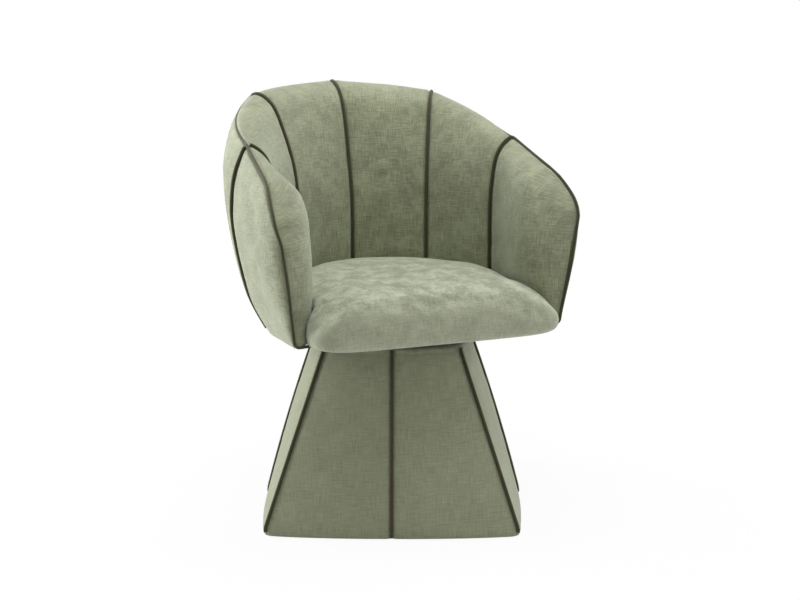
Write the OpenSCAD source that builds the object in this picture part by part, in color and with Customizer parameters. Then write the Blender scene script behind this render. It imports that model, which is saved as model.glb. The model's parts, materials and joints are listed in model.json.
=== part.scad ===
// Swivel tub armchair: a padded petal shell and a crowned cushion on a
// ball-bearing swivel, over an upholstered pyramid base.
// The origin is on the floor at the middle of the base, on the swivel axis.
// The base is square to the axes; the seat faces -Y when seat_turn is 0.

/* [Seat] */
// Angle that the seat is turned on its swivel, counter-clockwise from above
seat_turn = 23; // [-180:1:180]
// Height of the seat board's underside above the base's top board
swivel_h = 35; // [32:1:45]
// Thickness of the seat board
board_t = 18; // [15:1:22]
// Height of the cushion's top edge above the seat board
cushion_h = 64; // [54:1:72]
// Extra height of the cushion's crown over its edge
cushion_crown = 22; // [8:1:32]
// How far the cushion's front lip hangs below the board's top
lip_drop = 17; // [10:1:26]
// Distance from the swivel axis to the cushion's front edge
lip_reach = 268; // [262:1:276]

/* [Shell] */
// Swell of a panel's inside face between its seams
inner_swell = 8; // [3:1:10]
// Swell of a panel over the rim
rim_swell = 3; // [1:0.5:8]
// Swell of a panel's outside face between its seams
outer_swell = 17; // [8:1:24]
// Thickness of the padding over the frame, where it is full
pad_t = 24; // [20:1:26]
// Depth of the groove that a seam pulls into the padding
groove_d = 5; // [3.5:0.5:6]
// Diameter of the piping
piping_d = 7; // [5:0.5:8]
// How far the arm's front reaches before the swivel axis
arm_reach = 205; // [200:1:210]

/* [Frame] */
// Thickness of the plywood ribs
rib_t = 12; // [9:1:15]
// Height of the curved rail on the seat board
rail_h = 36; // [30:1:38]
// Width of the curved rail
rail_w = 20; // [16:1:20]
// Diameter of the bent steel hoop
hoop_d = 12; // [8:1:13]
// Width and depth of the arm posts
post_w = 22; // [18:1:26]
// Thickness of the dust cover under the seat board
dust_t = 1.5; // [1:0.5:2]

/* [Base] */
// Width of the base at the floor
base_w = 486; // [440:1:520]
// Lean of the base's faces, as run over rise
base_lean = 0.335; // [0.3:0.005:0.36]
// Height of the base's top board over the floor
base_h = 335; // [325:1:340]
// Crown of a base face at its foot
crown_foot = 16; // [4:1:24]
// Crown of a base face at half height
crown_mid = 33; // [8:1:40]
// Crown of a base face at its top
crown_top = 27; // [4:1:34]
// Thickness of the padding at the base's corners
base_pad = 8; // [6:1:12]
// Thickness of the base's side panels
panel_t = 12; // [9:1:18]
// Thickness of the base's top and bottom boards
deck_t = 18; // [15:1:21]
// Thickness of the crossed webs inside the base
web_t = 15; // [12:1:18]
// Thickness of the felt under the base
felt_t = 3; // [2:0.5:4]

/* [Swivel] */
// Width of the square swivel plates
plate_w = 180; // [170:1:190]
// Thickness of the swivel plates
plate_t = 4; // [3:0.5:4.5]
// Distance from the axis to each plate bolt, along X and along Y
bolt_at = 70; // [64:1:76]
// Diameter of the plate bolts
bolt_d = 8; // [6:1:8]
// Diameter of the bearing balls
ball_d = 9; // [7:0.5:9]
// Radius of the circle that the balls run on
ball_ring_r = 52; // [50:1:54]
// Number of bearing balls
ball_count = 24; // [12:1:26]
// Diameter of the spindle
spindle_d = 24; // [20:1:26]

/* [Hidden] */

// Clearance between pieces that touch, and the smaller one of a press seat
gap = 0.3;
seat_gap = 0.05;
fabric_colour = [0.53, 0.56, 0.47];
piping_colour = [0.16, 0.15, 0.12];
ply_colour = [0.78, 0.65, 0.46];
steel_colour = [0.62, 0.63, 0.65];
felt_colour = [0.1, 0.1, 0.11];

// Heights of the swivel, from the base's top to the seat board
board_z = base_h + swivel_h;
board_top = board_z + board_t;
upper_plate_z = board_z - plate_t;
race_r = 12;
race_low_z = base_h + plate_t;
race_low_h = 9;
ball_z = race_low_z + race_low_h + 2.5;
race_up_z = ball_z + 2.5;
groove_r = ball_d / 2 + 0.1;

// The shell's sections. Each station is the place where a seam crosses the inside wall, and the
// direction in which its section runs outwards, in degrees from straight back.
stations = [[0, 228, 0], [142, 159, 29], [230, 30, 83], [224, -120, 90]];
// Each section runs from the inside foot up, over the rim and down to the outside foot, as
// [distance out from the inside wall, height over the seat board's underside].
foot_drop = 8;
foot_z = board_z - foot_drop;
wall_rise = board_t + rail_h + gap;
wall_foot = board_z + wall_rise;
section_back = [
    [0, wall_rise], [0, 110], [3, 220], [20, 300], [45, 390], [72, 436], [112, 459],
    [138, 452], [147, 415], [138, 345], [112, 250], [84, 130], [50, 35], [22, -foot_drop]
];
section_side = [
    [0, wall_rise], [0, 110], [3, 220], [16, 300], [46, 375], [70, 415], [106, 437],
    [132, 430], [139, 395], [130, 335], [108, 255], [81, 140], [49, 40], [26, -foot_drop]
];
section_arm = [
    [0, wall_rise], [0, 110], [0, 215], [4, 265], [11, 304], [22, 328], [38, 344],
    [54, 349], [66, 326], [78, 285], [83, 220], [73, 145], [52, 60], [20, -foot_drop]
];
section_front = [
    [0, wall_rise], [0, 90], [0, 160], [3, 210], [7, 247], [17, 272], [37, 287],
    [69, 291], [83, 272], [93, 230], [94, 170], [82, 105], [61, 40], [40, 6 - foot_drop]
];
sections = [
    for (s = [section_back, section_side, section_arm, section_front]) [for (p = s) p + [0, board_z]]
];
arm_end = sections[3];
// How far the rim drops between the seams of the back, the outer and the arm panels, and the
// share of it that each point of a section takes
rim_sag = [7, 11, 0];
sag_at = [0, 0, 0, 0, 0.2, 0.6, 1, 1, 1, 0.6, 0.3, 0, 0, 0];
// How far the sections keep changing beyond the arm's front station, which sets its slope there
front_pull = 0.86;
// Padding over the frame at each point of a section
pad_at = [1, 1, 1, 1, 0.92, 0.84, 0.84, 0.84, 0.92, 1, 1, 0.75, 0.5, 0.42] * pad_t;
rim = 7;
last = len(section_back) - 1;
// Places along a section at which a panel has points
section_steps = [
    0, 1, 2, 3, 3.5, 4, 4.5, 5, 5.5, 6, 6.5, 7, 7.5, 8, 8.5, 9, 9.5, 10, 11, 12, 12.5, 13
];

// Smooth curve through four values, between the second and the third
function curve(a, b, c, d, t) =
    0.5 * (2 * b + (c - a) * t + (2 * a - 5 * b + 4 * c - d) * t * t
        + (3 * b - a - 3 * c + d) * t * t * t);

// Point of a list of points at place t, on a smooth curve through them
function along(points, t) =
    let (n = len(points) - 1, i = min(floor(t), n - 1), f = t - i)
    curve(points[max(i - 1, 0)], points[i], points[i + 1], points[min(i + 2, n)], f);

// Mirror image of a station at negative places, so that one list serves both sides
function station(i) =
    i < 0 ? [-stations[-i][0], stations[-i][1], -stations[-i][2]] :
    i > 3 ? stations[3] + (stations[3] - stations[2]) * [[0, 0, 0], [0, 1, 0], [0, 0, 0]] :
    stations[i];
function station_at(u) =
    let (i = min(floor(u), 2), f = u - i)
    curve(station(i - 1), station(i), station(i + 1), station(i + 2), f);

// Section at place u, from 0 at the back's middle to 3 at the arm's front
function section(i, k) =
    i > 3 ? arm_end[k] + (arm_end[k] - sections[2][k]) * front_pull : sections[abs(i)][k];
function section_at(u) =
    let (i = min(floor(u), 2), f = u - i, sag = rim_sag[i] * 4 * f * (1 - f))
    [for (k = [0:last])
        curve(section(i - 1, k), section(i, k), section(i + 1, k), section(i + 2, k), f)
            - [0, sag * sag_at[k]]];

// 0 up to a, 1 from b on, and a straight line between
function step(x, a, b) = min(max((x - a) / (b - a), 0), 1);

// Swell of the padding between two seams, 0 at a seam and 1 in the middle
function swell(f) = pow(max(4 * f * (1 - f), 0), 0.6);

// Unit normal of a section at place t, pointing out of the padding
function normal(section, t) =
    let (a = along(section, max(t - 0.1, 0)), b = along(section, min(t + 0.1, last)))
    [a[1] - b[1], b[0] - a[0]] / norm(b - a);

// Swell on the inside face, over the rim and on the outside face. It takes the amounts for the
// inside and the outside as a pair.
rim_span = 2;
function swell_size(t) =
    t < 1 ? 0 : t < rim - rim_span ? inner_swell :
    t < rim ? rim_swell + (inner_swell - rim_swell) * (rim - t) / rim_span :
    t < rim + rim_span ? rim_swell + (outer_swell - rim_swell) * (t - rim) / rim_span :
    t < last - 1 ? outer_swell : outer_swell * (last - t) * 0.7 + outer_swell * 0.3;
function swollen(amount, t) = (t < rim ? amount[0] : amount[1]) * swell_size(t);

// Places a section's points in space, on the left side where side is -1
function placed(points, u, side) =
    let (s = station_at(u))
    [for (p = points) [side * (s[0] + p[0] * sin(s[2])), s[1] + p[0] * cos(s[2]), p[1]]];

// Depth of the shallow seam along the rim
rim_groove = 2.5;

// One closed outline of a panel's section: over the skin, and back along the inside of the padding
function skin(section, amount, sunk) =
    [for (t = section_steps)
        along(section, t)
            + normal(section, t) * (swollen(amount, t) - sunk - (t == rim ? rim_groove : 0))];
function lining(section, amount) =
    [for (k = [len(section_steps) - 1:-1:0])
        let (t = section_steps[k])
        along(section, t) + normal(section, t) * (swollen(amount, t) - along(pad_at, t))];

// Joins rings of equal length into a closed solid. The ends are bands between the two halves.
module swept(rings, flip) {
    n = len(rings[0]);
    m = len(rings);
    half = n / 2;
    points = [for (ring = rings) for (p = ring) p];
    sides = [
        for (j = [0:m - 2]) for (i = [0:n - 1])
        let (a = j * n + i, b = j * n + (i + 1) % n, c = a + n, d = b + n)
        each [[a, b, d], [a, d, c]]
    ];
    band = [
        for (i = [0:half - 2])
        let (a = i, b = i + 1, c = n - 1 - i, d = n - 2 - i)
        each [[a, c, d], [a, d, b]]
    ];
    far = [for (f = band) [f[0], f[2], f[1]] + [1, 1, 1] * (m - 1) * n];
    faces = concat(sides, band, far);
    polyhedron(points, flip ? [for (f = faces) [f[0], f[2], f[1]]] : faces, convexity = 6);
}

// A back panel between the seams at places u0 and u1
seam_steps = [0, 0.03, 0.09, 0.25, 0.5, 0.75, 0.91, 0.97, 1];
module back_panel(u0, side) {
    rings = [
        for (f = seam_steps)
        let (u = u0 + f, s = section_at(u), b = [1, 1] * swell(f),
            sunk = (f == 0 || f == 1) ? groove_d : 0)
        placed(concat(skin(s, b, sunk), lining(s, b)), u, side)
    ];
    color(fabric_colour) turned() swept(rings, side < 0);
}

// The arm's front: a nose that thins from the front station to a ridge, with a rounded top corner
arm_corner_r = 62;
nose_start = -stations[3][1];
nose_depth = arm_reach - nose_start;
nose_square_in = 0.8;
nose_square_out = 1.1;
rim_fall = 0.36;
ridge_foot = 43;
ridge_lean = 0.14;
ridge_max = 76;
nose_foot_z = foot_z + 14;
function nose_width(a, k) = pow(cos(a), k < rim ? nose_square_in : nose_square_out);
function nose_rim(y) =
    arm_end[rim][1] - rim_fall * (y - nose_start)
    - arm_corner_r * (1 - sqrt(1 - pow(max(y - (arm_reach - arm_corner_r), 0) / arm_corner_r, 2)));
function ridge_out(z) = min(ridge_foot + (z - foot_z) * ridge_lean, ridge_max);
function nose_section(a) =
    let (y = nose_start + nose_depth * sin(a),
        k = (nose_rim(y) - wall_foot) / (arm_end[rim][1] - wall_foot))
    [for (i = [0:last])
        let (p = arm_end[i], n = nose_width(a, i),
            z = i == 0 ? wall_foot + (nose_foot_z - wall_foot) * step(y - nose_start, 20, 60) :
                p[1] > wall_foot ? wall_foot + (p[1] - wall_foot) * k :
                nose_foot_z + (p[1] - nose_foot_z) * n)
        [ridge_out(z) + (p[0] - ridge_out(z)) * n, z]];
nose_angles = [0.5, 22, 42, 58, 70, 79, 86];

module arm_panel(side) {
    hollow = [
        for (f = [0, 0.04, 0.12, 0.35, 0.65, 1])
        let (u = 2 + f, s = section_at(u), sunk = f == 0 ? groove_d : 0,
            b = swell(f / 2) * [1, 1 - pow(f, 4)])
        placed(concat(skin(s, b, sunk), lining(s, b)), u, side)
    ];
    n = len(section_steps);
    nose = [
        for (a = nose_angles)
        let (s = nose_section(a), k = skin(s, [nose_width(a, 0), 0], 0), st = stations[3],
            back = [for (i = [n - 1:-1:0]) k[0] + (k[n - 1] - k[0]) * (i + 0.5) / n])
        [for (p = concat(k, back))
            [side * (st[0] + p[0]), -nose_start - nose_depth * sin(a), p[1]]]
    ];
    color(fabric_colour) turned() swept(concat(hollow, nose), side < 0);
}

module turned() {
    rotate([0, 0, seat_turn]) children();
}

// A round cord swept along points, with flat sides
module cord(points, d, sides = 6) {
    m = len(points);
    rings = [
        for (i = [0:m - 1])
        let (a = points[max(i - 1, 0)], b = points[min(i + 1, m - 1)], t = (b - a) / norm(b - a),
            ref = abs(t[2]) > 0.9 ? [0, 1, 0] : [0, 0, 1],
            x = cross(t, ref) / norm(cross(t, ref)), y = cross(t, x))
        [for (j = [0:sides - 1])
            points[i] + (x * cos(j * 360 / sides) + y * sin(j * 360 / sides)) * d / 2]
    ];
    faces = concat(
        [for (i = [0:m - 2]) for (j = [0:sides - 1])
            let (a = i * sides + j, b = i * sides + (j + 1) % sides)
            each [[a, a + sides, b + sides], [a, b + sides, b]]],
        [[for (j = [0:sides - 1]) j]],
        [[for (j = [sides - 1:-1:0]) (m - 1) * sides + j]]
    );
    polyhedron([for (r = rings) for (p = r) p], faces, convexity = 8);
}

// A straight round rod from a to b
module rod(a, b, d) {
    v = b - a;
    translate(a) rotate([0, acos(v[2] / norm(v)), atan2(v[1], v[0])])
        cylinder(h = norm(v), d = d, $fn = 32);
}

// Seams: the piping lies in the groove between two panels, inside up to the rim and outside below
// it. Its height over the groove's foot follows from the width of the groove's narrower side.
function span(u, t) =
    norm(placed([along(section_at(u), t)], u, 1)[0] - placed([along(section_at(u + 1), t)], u + 1, 1)[0]);
function seam_height(u, t) =
    let (rise = groove_d + swell(seam_steps[1]) * swell_size(t),
        width = seam_steps[1] * min(span(max(u - 1, 0), t), span(u, t)))
    (piping_d / 2 + 0.8) / sin(atan(width / rise)) - groove_d;
// The cords stop clear of the rim's cord
seam_stop = piping_d / 2 + 2.5;
seam_foot = 0.4;
module seam_piping(u, side) {
    section = section_at(u);
    inside = [seam_foot, rim - seam_stop / norm(section[rim] - section[rim - 1])];
    outside = [rim + seam_stop / norm(section[rim + 1] - section[rim]), last - 0.1];
    for (ends = [inside, outside]) {
        from = ends[0];
        to = ends[1];
        n = ceil((to - from) * 3);
        path = [
            for (i = [0:n])
            let (t = from + (to - from) * i / n)
            along(section, t) + normal(section, t) * seam_height(u, t)
        ];
        color(piping_colour) turned() cord(placed(path, u, side), piping_d);
    }
}

// Rim: the piping follows the outer edge of the rim and then the ridge of the arm's front
rim_height = piping_d / 2 + 1.2 - rim_groove;
function rim_point(u) =
    let (s = section_at(u), f = u - floor(u), b = u < 2 ? swell(f) : swell((u - 2) / 2))
    placed([along(s, rim) + normal(s, rim) * (b * rim_swell + rim_height)], u, 1)[0];
function nose_point(a) =
    let (s = nose_section(a), y = nose_start + nose_depth * sin(a), e = 0.5,
        fall = (nose_rim(y) - nose_rim(min(y + e, arm_reach))) / e,
        n = normal(arm_end, rim), up = [n[0] * cos(a), -fall, 1] / norm([n[0] * cos(a), fall, 1]))
    [stations[3][0] + s[rim][0], -y, s[rim][1]]
        + up * (rim_height + (rim_groove + 0.5) * sin(a) + rim_swell * cos(a));
ridge_y = -arm_reach - piping_d / 2 - 0.9;
ridge_top = nose_rim(arm_reach) - 5;
ridge_end = nose_foot_z + 6;
rim_side = concat(
    [for (u = [0:0.125:2.9]) rim_point(u)],
    [for (a = [10:13:75]) nose_point(a)],
    [for (i = [0:6])
        let (z = ridge_top + (ridge_end - ridge_top) * i / 6)
        [stations[3][0] + ridge_out(z), ridge_y, z]],
    [[stations[3][0] + ridge_foot - 3, ridge_y + 2, nose_foot_z - piping_d],
        [stations[3][0] + ridge_foot - 14, ridge_y + 12, nose_foot_z - piping_d - 1]]
);
module rim_piping() {
    n = len(rim_side);
    left = [for (i = [n - 1:-1:1]) [-rim_side[i][0], rim_side[i][1], rim_side[i][2]]];
    color(piping_colour) turned() cord(concat(left, rim_side), piping_d);
}

// Hoop of bent steel: it runs in the middle of the padding's cavity, below the rim
hoop_sides = 10;
hoop_steps = 36;
hoop_end = 2.95;
// Places of a section's inside face that the hoop lies level with, at each station
hoop_in = [4.5, 4.3, 3.7, 3.7];
hoop_pair = 13.1;
rib_clear = 3;
function rib_edge(section, t) =
    along(section, t) - normal(section, t) * (along(pad_at, t) + rib_clear);
function hoop_mid(u) =
    let (s = section_at(u), t = along(hoop_in, u))
    (rib_edge(s, t) + rib_edge(s, hoop_pair - t)) / 2;
function hoop_at(u) = placed([hoop_mid(abs(u))], abs(u), sign(u))[0];
module shell_hoop() {
    color(steel_colour) turned()
        cord([for (i = [-hoop_steps:hoop_steps]) hoop_at(i * hoop_end / hoop_steps)], hoop_d, hoop_sides);
}

// Ribs: plywood profiles in the seams' planes, from the rail up to a saddle under the hoop
saddle_len = 50;
saddle_clear = 0.85;
module rib(u, side, t, foot_clear) {
    section = section_at(u);
    s = station_at(u);
    centre = hoop_at(u);
    run = hoop_at(u + 0.02) - hoop_at(u - 0.02);
    way = run / norm(run) * saddle_len / 2;
    top = centre[2];
    inside = [for (k = [0.3:0.15:6]) let (p = rib_edge(section, k)) if (p[1] < top - 2) p];
    outside = [for (k = [8:0.3:12.5]) let (p = rib_edge(section, k)) if (p[1] < top - 2) p];
    high = inside[len(inside) - 1];
    lean = high - inside[len(inside) - 2];
    inside_top = high + lean * (top - high[1]) / lean[1] + [1, 0];
    foot = rail_w + foot_clear;
    mirror([side < 0 ? 1 : 0, 0, 0]) difference() {
        translate([s[0], s[1], 0]) rotate([90, 0, 90 - s[2]])
            linear_extrude(t, center = true) polygon(concat(
                [[foot, outside[len(outside) - 1][1]], [foot, wall_foot - gap]],
                [[inside[0][0], wall_foot - gap]], inside,
                [inside_top, [outside[0][0], top]], outside
            ));
        rod(centre - way, centre + way, hoop_d + 2 * saddle_clear);
    }
}
module shell_rib(u, side) {
    color(ply_colour) turned() rib(u, side, rib_t, 2);
}
post_at = 2.87;
module arm_post(side) {
    color(ply_colour) turned() rib(post_at, side, post_w, 2);
}

// Plan outlines that follow the shell from one arm's front round the back to the other's
plan_steps = [for (i = [0:24]) i / 8];
function plan_line(out, to) =
    let (right = [for (u = plan_steps) if (u <= to) placed([[out, 0]], u, 1)[0]])
    concat(
        [for (i = [len(right) - 1:-1:1]) [-right[i][0], right[i][1]]],
        [for (p = right) [p[0], p[1]]]
    );
module shell_rail() {
    inner = plan_line(0.5, post_at + 0.06);
    outer = plan_line(rail_w, post_at + 0.06);
    color(ply_colour) turned() translate([0, 0, board_top]) linear_extrude(rail_h)
        polygon(concat(inner, [for (i = [len(outer) - 1:-1:0]) outer[i]]));
}
function board_edge(u) = min(section_at(u)[last][0] - 10, 26);
board_front = [
    [246, -145], [234, -158], [222, -170], [192, -lip_reach + 52], [168, -lip_reach + 36]
];
module board_plan(inset) {
    right = [for (u = plan_steps) placed([[board_edge(u) - inset, 0]], u, 1)[0]];
    half = concat([for (p = right) [p[0], p[1]]], [for (p = board_front) p - [inset, -inset]]);
    polygon(concat(half, [for (i = [len(half) - 1:-1:1]) [-half[i][0], half[i][1]]]));
}
module at_bolts() {
    for (x = [-1, 1]) for (y = [-1, 1]) translate([x * bolt_at, y * bolt_at]) children();
}
tee_flange_r = bolt_d + 2;
tee_barrel_r = bolt_d / 2 + 1;
tee_t = 1.5;
tee_len = 11;
module seat_board() {
    color(ply_colour) turned() difference() {
        translate([0, 0, board_z]) linear_extrude(board_t) board_plan(0);
        at_bolts() {
            translate([0, 0, board_z - 1]) cylinder(h = board_t + 2, r = bolt_d / 2 + gap, $fn = 32);
            translate([0, 0, board_top - tee_t - tee_len - gap])
                cylinder(h = board_t, r = tee_barrel_r + seat_gap, $fn = 32);
            translate([0, 0, board_top - tee_t - gap])
                cylinder(h = board_t, r = tee_flange_r + gap, $fn = 32);
        }
    }
}
module dust_cover() {
    color(felt_colour) turned() translate([0, 0, board_z - dust_t]) linear_extrude(dust_t)
        difference() {
            board_plan(4);
            square(plate_w + 2, center = true);
        }
}

// Seat cushion: rings from the underside over the front lip and the sides to the crown
cushion_front = [
    [218, -148], [227, -176], [238, -197], [245, -lip_reach + 54], [245, -lip_reach + 32],
    [233, -lip_reach + 16], [204, -lip_reach + 7], [120, -lip_reach + 2], [0, -lip_reach]
];
function cushion_out(u) =
    let (f = u - floor(u), b = u < 2 ? swell(f) : swell((u - 2) / 2))
    -(inner_swell * max(b, 0.55) + 1.2);
cushion_half = concat(
    [for (i = [0:12]) let (u = i / 4, p = placed([[cushion_out(u), 0]], u, 1)[0]) [p[0], p[1]]],
    cushion_front
);
cushion_plan = concat(
    cushion_half,
    [for (i = [len(cushion_half) - 2:-1:1]) [-cushion_half[i][0], cushion_half[i][1]]]
);
cushion_mid = [0, -25];
cushion_r = 240;
edge_z = board_top + cushion_h;
// [distance in from the plan's outline, height], at the sides and at the front lip. The upper
// rings from the fifth on keep their distance in proportion to the outline's reach.
cushion_upper = 5;
cushion_sides = [
    [30, board_top + gap], [26, board_top + gap], [3, board_top + gap], [0, board_top + 9],
    [0, edge_z - 22], [2, edge_z - 9], [8, edge_z - 1], [28, edge_z + cushion_crown * 0.25],
    [66, edge_z + cushion_crown * 0.58], [115, edge_z + cushion_crown * 0.84],
    [175, edge_z + cushion_crown * 0.97]
];
cushion_lip = [
    [29, board_top + gap], [26, board_top - lip_drop], [12, board_top - lip_drop],
    [3, board_top - lip_drop + 10], [0, edge_z - 48], [4, edge_z - 27], [15, edge_z - 11],
    [38, edge_z + cushion_crown * 0.1], [74, edge_z + cushion_crown * 0.5],
    [120, edge_z + cushion_crown * 0.81], [177, edge_z + cushion_crown * 0.965]
];
function ease(x) = x * x * (3 - 2 * x);
module seat_cushion() {
    n = len(cushion_plan);
    m = len(cushion_sides);
    points = concat(
        [[cushion_mid[0], cushion_mid[1], board_top + gap]],
        [for (k = [0:m - 1]) for (p = cushion_plan)
            let (w = k < cushion_upper ? step(p[1] + lip_reach, 68, 36) :
                    ease(step(p[1] + lip_reach, 178, 18)),
                q = cushion_sides[k] * (1 - w) + cushion_lip[k] * w, r = norm(cushion_mid - p),
                d = k < cushion_upper + 2 ? q[0] : q[0] * r / cushion_r,
                xy = p + (cushion_mid - p) / r * d)
            [xy[0], xy[1], q[1]]],
        [[cushion_mid[0], cushion_mid[1], edge_z + cushion_crown]]
    );
    faces = concat(
        [for (i = [0:n - 1]) [0, 1 + (i + 1) % n, 1 + i]],
        [for (k = [0:m - 2]) for (i = [0:n - 1])
            let (a = 1 + k * n + i, b = 1 + k * n + (i + 1) % n)
            each [[a, b + n, a + n], [a, b, b + n]]],
        [for (i = [0:n - 1]) [len(points) - 1, 1 + (m - 1) * n + i, 1 + (m - 1) * n + (i + 1) % n]]
    );
    color(fabric_colour) turned() polyhedron(points, faces, convexity = 4);
}

// Base: half width of the face planes at height z, moved in by d at right angles to the faces
base_tilt = atan(base_lean);
function base_half(z, d) = base_w / 2 - base_lean * z - d / cos(base_tilt);
deck_z = base_h - deck_t;
module base_panel(k) {
    levels = [felt_t, deck_z];
    points = [for (z = levels) let (a = base_half(z, base_pad), b = base_half(z, base_pad + panel_t))
        each [[-a, -a, z], [a, -a, z], [b, -b, z], [-b, -b, z]]];
    color(ply_colour) rotate([0, 0, 90 * k]) polyhedron(points, [
        [0, 1, 2, 3], [7, 6, 5, 4], [0, 4, 5, 1], [1, 5, 6, 2], [2, 6, 7, 3], [3, 7, 4, 0]
    ]);
}
function base_crown(z) =
    let (f = z / base_h)
    crown_foot * (1 - f) * (1 - 2 * f) + crown_mid * 4 * f * (1 - f) + crown_top * f * (2 * f - 1);
base_corner_sunk = 3;
base_levels = concat(
    [2, 5, 12], [for (f = [0.1, 0.24, 0.42, 0.6, 0.76, 0.9]) f * base_h], [base_h - 10, base_h - 1]
);
// How far the skin rolls in at each level, and the corners beyond that
base_edge_in = [4, 2, 0.5, 0, 0, 0, 0, 0, 0, 1, 5];
base_corner_in = [0, 2, 1.5, 0, 0, 0, 0, 0, 0, 0, 0];
base_across = [-1, -0.96, -0.86, -0.6, -0.3, -0.05, 0, 0.05, 0.3, 0.6, 0.86, 0.96, 1];
function base_swell(s, z) = base_crown(z) * pow(1 - s * s, 0.8) + 3 * swell(abs(s));
function base_corner(i) =
    base_half(base_levels[i], 0)
    - (base_corner_sunk + base_edge_in[i] + base_corner_in[i]) * cos(base_tilt);
function base_skin(s, i) =
    let (z = base_levels[i],
        out = s == 0 ? base_swell(0, z) - groove_d : base_swell(s, z) - base_edge_in[i])
    abs(s) == 1 ? [s * (base_corner(i) - seat_gap), -base_corner(i)] :
    [s * base_corner(i), -base_half(z, 0) - out * cos(base_tilt)];
module base_pad_face(k) {
    n = len(base_across) + 2;
    m = len(base_levels);
    points = [for (i = [0:m - 1])
        let (z = base_levels[i], b = base_half(z, base_pad - gap))
        each concat([for (s = base_across) let (p = base_skin(s, i)) [p[0], p[1], z]],
            [[b - seat_gap, -b, z], [seat_gap - b, -b, z]])];
    color(fabric_colour) rotate([0, 0, 90 * k]) polyhedron(points, concat(
        [[for (i = [0:n - 1]) i]],
        [for (j = [0:m - 2]) for (i = [0:n - 1])
            let (a = j * n + i, b = j * n + (i + 1) % n)
            each [[a, a + n, b + n], [a, b + n, b]]],
        [[for (i = [n - 1:-1:0]) (m - 1) * n + i]]
    ), convexity = 4);
}
module base_centre_piping() {
    path = [for (i = [1:len(base_levels) - 2])
        let (z = base_levels[i])
        [0, base_skin(0, i)[1] - piping_d / 2 - 1.2, z]];
    color(piping_colour) for (k = [0:3]) rotate([0, 0, 90 * k]) cord(path, piping_d);
}
// [height, distance in from the corner] of the cord's foot, which turns under the cover
corner_cord_foot = [[9.5, 2.6], [14, 0.8], [20, 0]];
module base_corner_piping() {
    path = [
        for (p = concat(corner_cord_foot, [[base_h / 2, 0], [base_h - 4, 0]]))
        let (a = base_half(p[0], 0) - p[1])
        [-a, -a, p[0]]
    ];
    color(piping_colour) for (k = [0:3]) rotate([0, 0, 90 * k]) cord(path, piping_d, 8);
}
module floor_felt() {
    a = base_half(0, base_pad + 4);
    color(felt_colour) linear_extrude(felt_t) square(2 * a, center = true);
}
module base_bottom_board() {
    a = base_half(felt_t + deck_t, base_pad + panel_t + gap);
    color(ply_colour) translate([0, 0, felt_t]) linear_extrude(deck_t) square(2 * a, center = true);
}
bush_r = spindle_d / 2 + 4;
module base_top_board() {
    a = base_half(base_h, base_pad);
    color(ply_colour) translate([0, 0, deck_z]) difference() {
        linear_extrude(deck_t) square(2 * a, center = true);
        translate([0, 0, -1]) cylinder(h = deck_t + 2, r = bush_r + seat_gap, $fn = 48);
        at_bolts() {
            translate([0, 0, -1]) cylinder(h = deck_t + 2, r = bolt_d / 2 + gap, $fn = 32);
            translate([0, 0, -1])
                cylinder(h = tee_len + gap + 1, r = tee_barrel_r + seat_gap, $fn = 32);
        }
    }
}
// Crossed webs: each is slotted over half its height to pass the other
web_low = felt_t + deck_t;
web_notch_w = 70;
web_notch_d = 24;
module base_web(turn, slot_low) {
    a = base_half(web_low, base_pad + panel_t + gap);
    b = base_half(deck_z, base_pad + panel_t + gap);
    mid = (web_low + deck_z - web_notch_d) / 2;
    color(ply_colour) rotate([90, 0, turn]) linear_extrude(web_t, center = true) difference() {
        polygon([[-a, web_low], [a, web_low], [b, deck_z], [-b, deck_z]]);
        translate([-web_notch_w / 2, deck_z - web_notch_d]) square([web_notch_w, web_notch_d + 1]);
        translate([-web_t / 2 - gap, slot_low ? web_low - 1 : mid])
            square([web_t + 2 * gap, slot_low ? mid + gap - web_low + 1 : deck_z]);
    }
}
module base_web_long() {
    base_web(0, true);
}
module base_web_cross() {
    base_web(90, false);
}

// Swivel: square plates, races, balls in a cage, and a spindle in a flanged bush
module swivel_plate(z, hole_r) {
    color(steel_colour) translate([0, 0, z]) linear_extrude(plate_t) difference() {
        offset(8, $fn = 32) square(plate_w - 16, center = true);
        circle(r = hole_r, $fn = 48);
        at_bolts() circle(r = bolt_d / 2 + gap, $fn = 32);
    }
}
module swivel_lower_plate() {
    swivel_plate(base_h, bush_r + seat_gap);
}
module swivel_upper_plate() {
    turned() swivel_plate(upper_plate_z, spindle_d / 2 + seat_gap);
}
module race(z, h) {
    color(steel_colour) rotate_extrude($fn = 96) difference() {
        translate([ball_ring_r - race_r, z]) square([2 * race_r, h]);
        translate([ball_ring_r, ball_z]) circle(r = groove_r, $fn = 48);
    }
}
module bearing_lower_race() {
    race(race_low_z, race_low_h);
}
module bearing_upper_race() {
    race(race_up_z, upper_plate_z - race_up_z);
}
module at_balls() {
    for (i = [0:ball_count - 1]) rotate([0, 0, i * 360 / ball_count])
        translate([ball_ring_r, 0, ball_z]) children();
}
module bearing_balls() {
    color(steel_colour) at_balls() sphere(d = ball_d, $fn = 32);
}
cage_t = 2.4;
cage_gap = 0.1;
module bearing_cage() {
    color("silver") difference() {
        translate([0, 0, ball_z - cage_t / 2]) linear_extrude(cage_t) difference() {
            circle(r = ball_ring_r + race_r - 2, $fn = 96);
            circle(r = ball_ring_r - race_r + 2, $fn = 96);
        }
        at_balls() cylinder(h = 2 * cage_t, r = ball_d / 2 + cage_gap, center = true, $fn = 32);
    }
}
bush_flange_t = 2.5;
bush_low = deck_z - 6;
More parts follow.
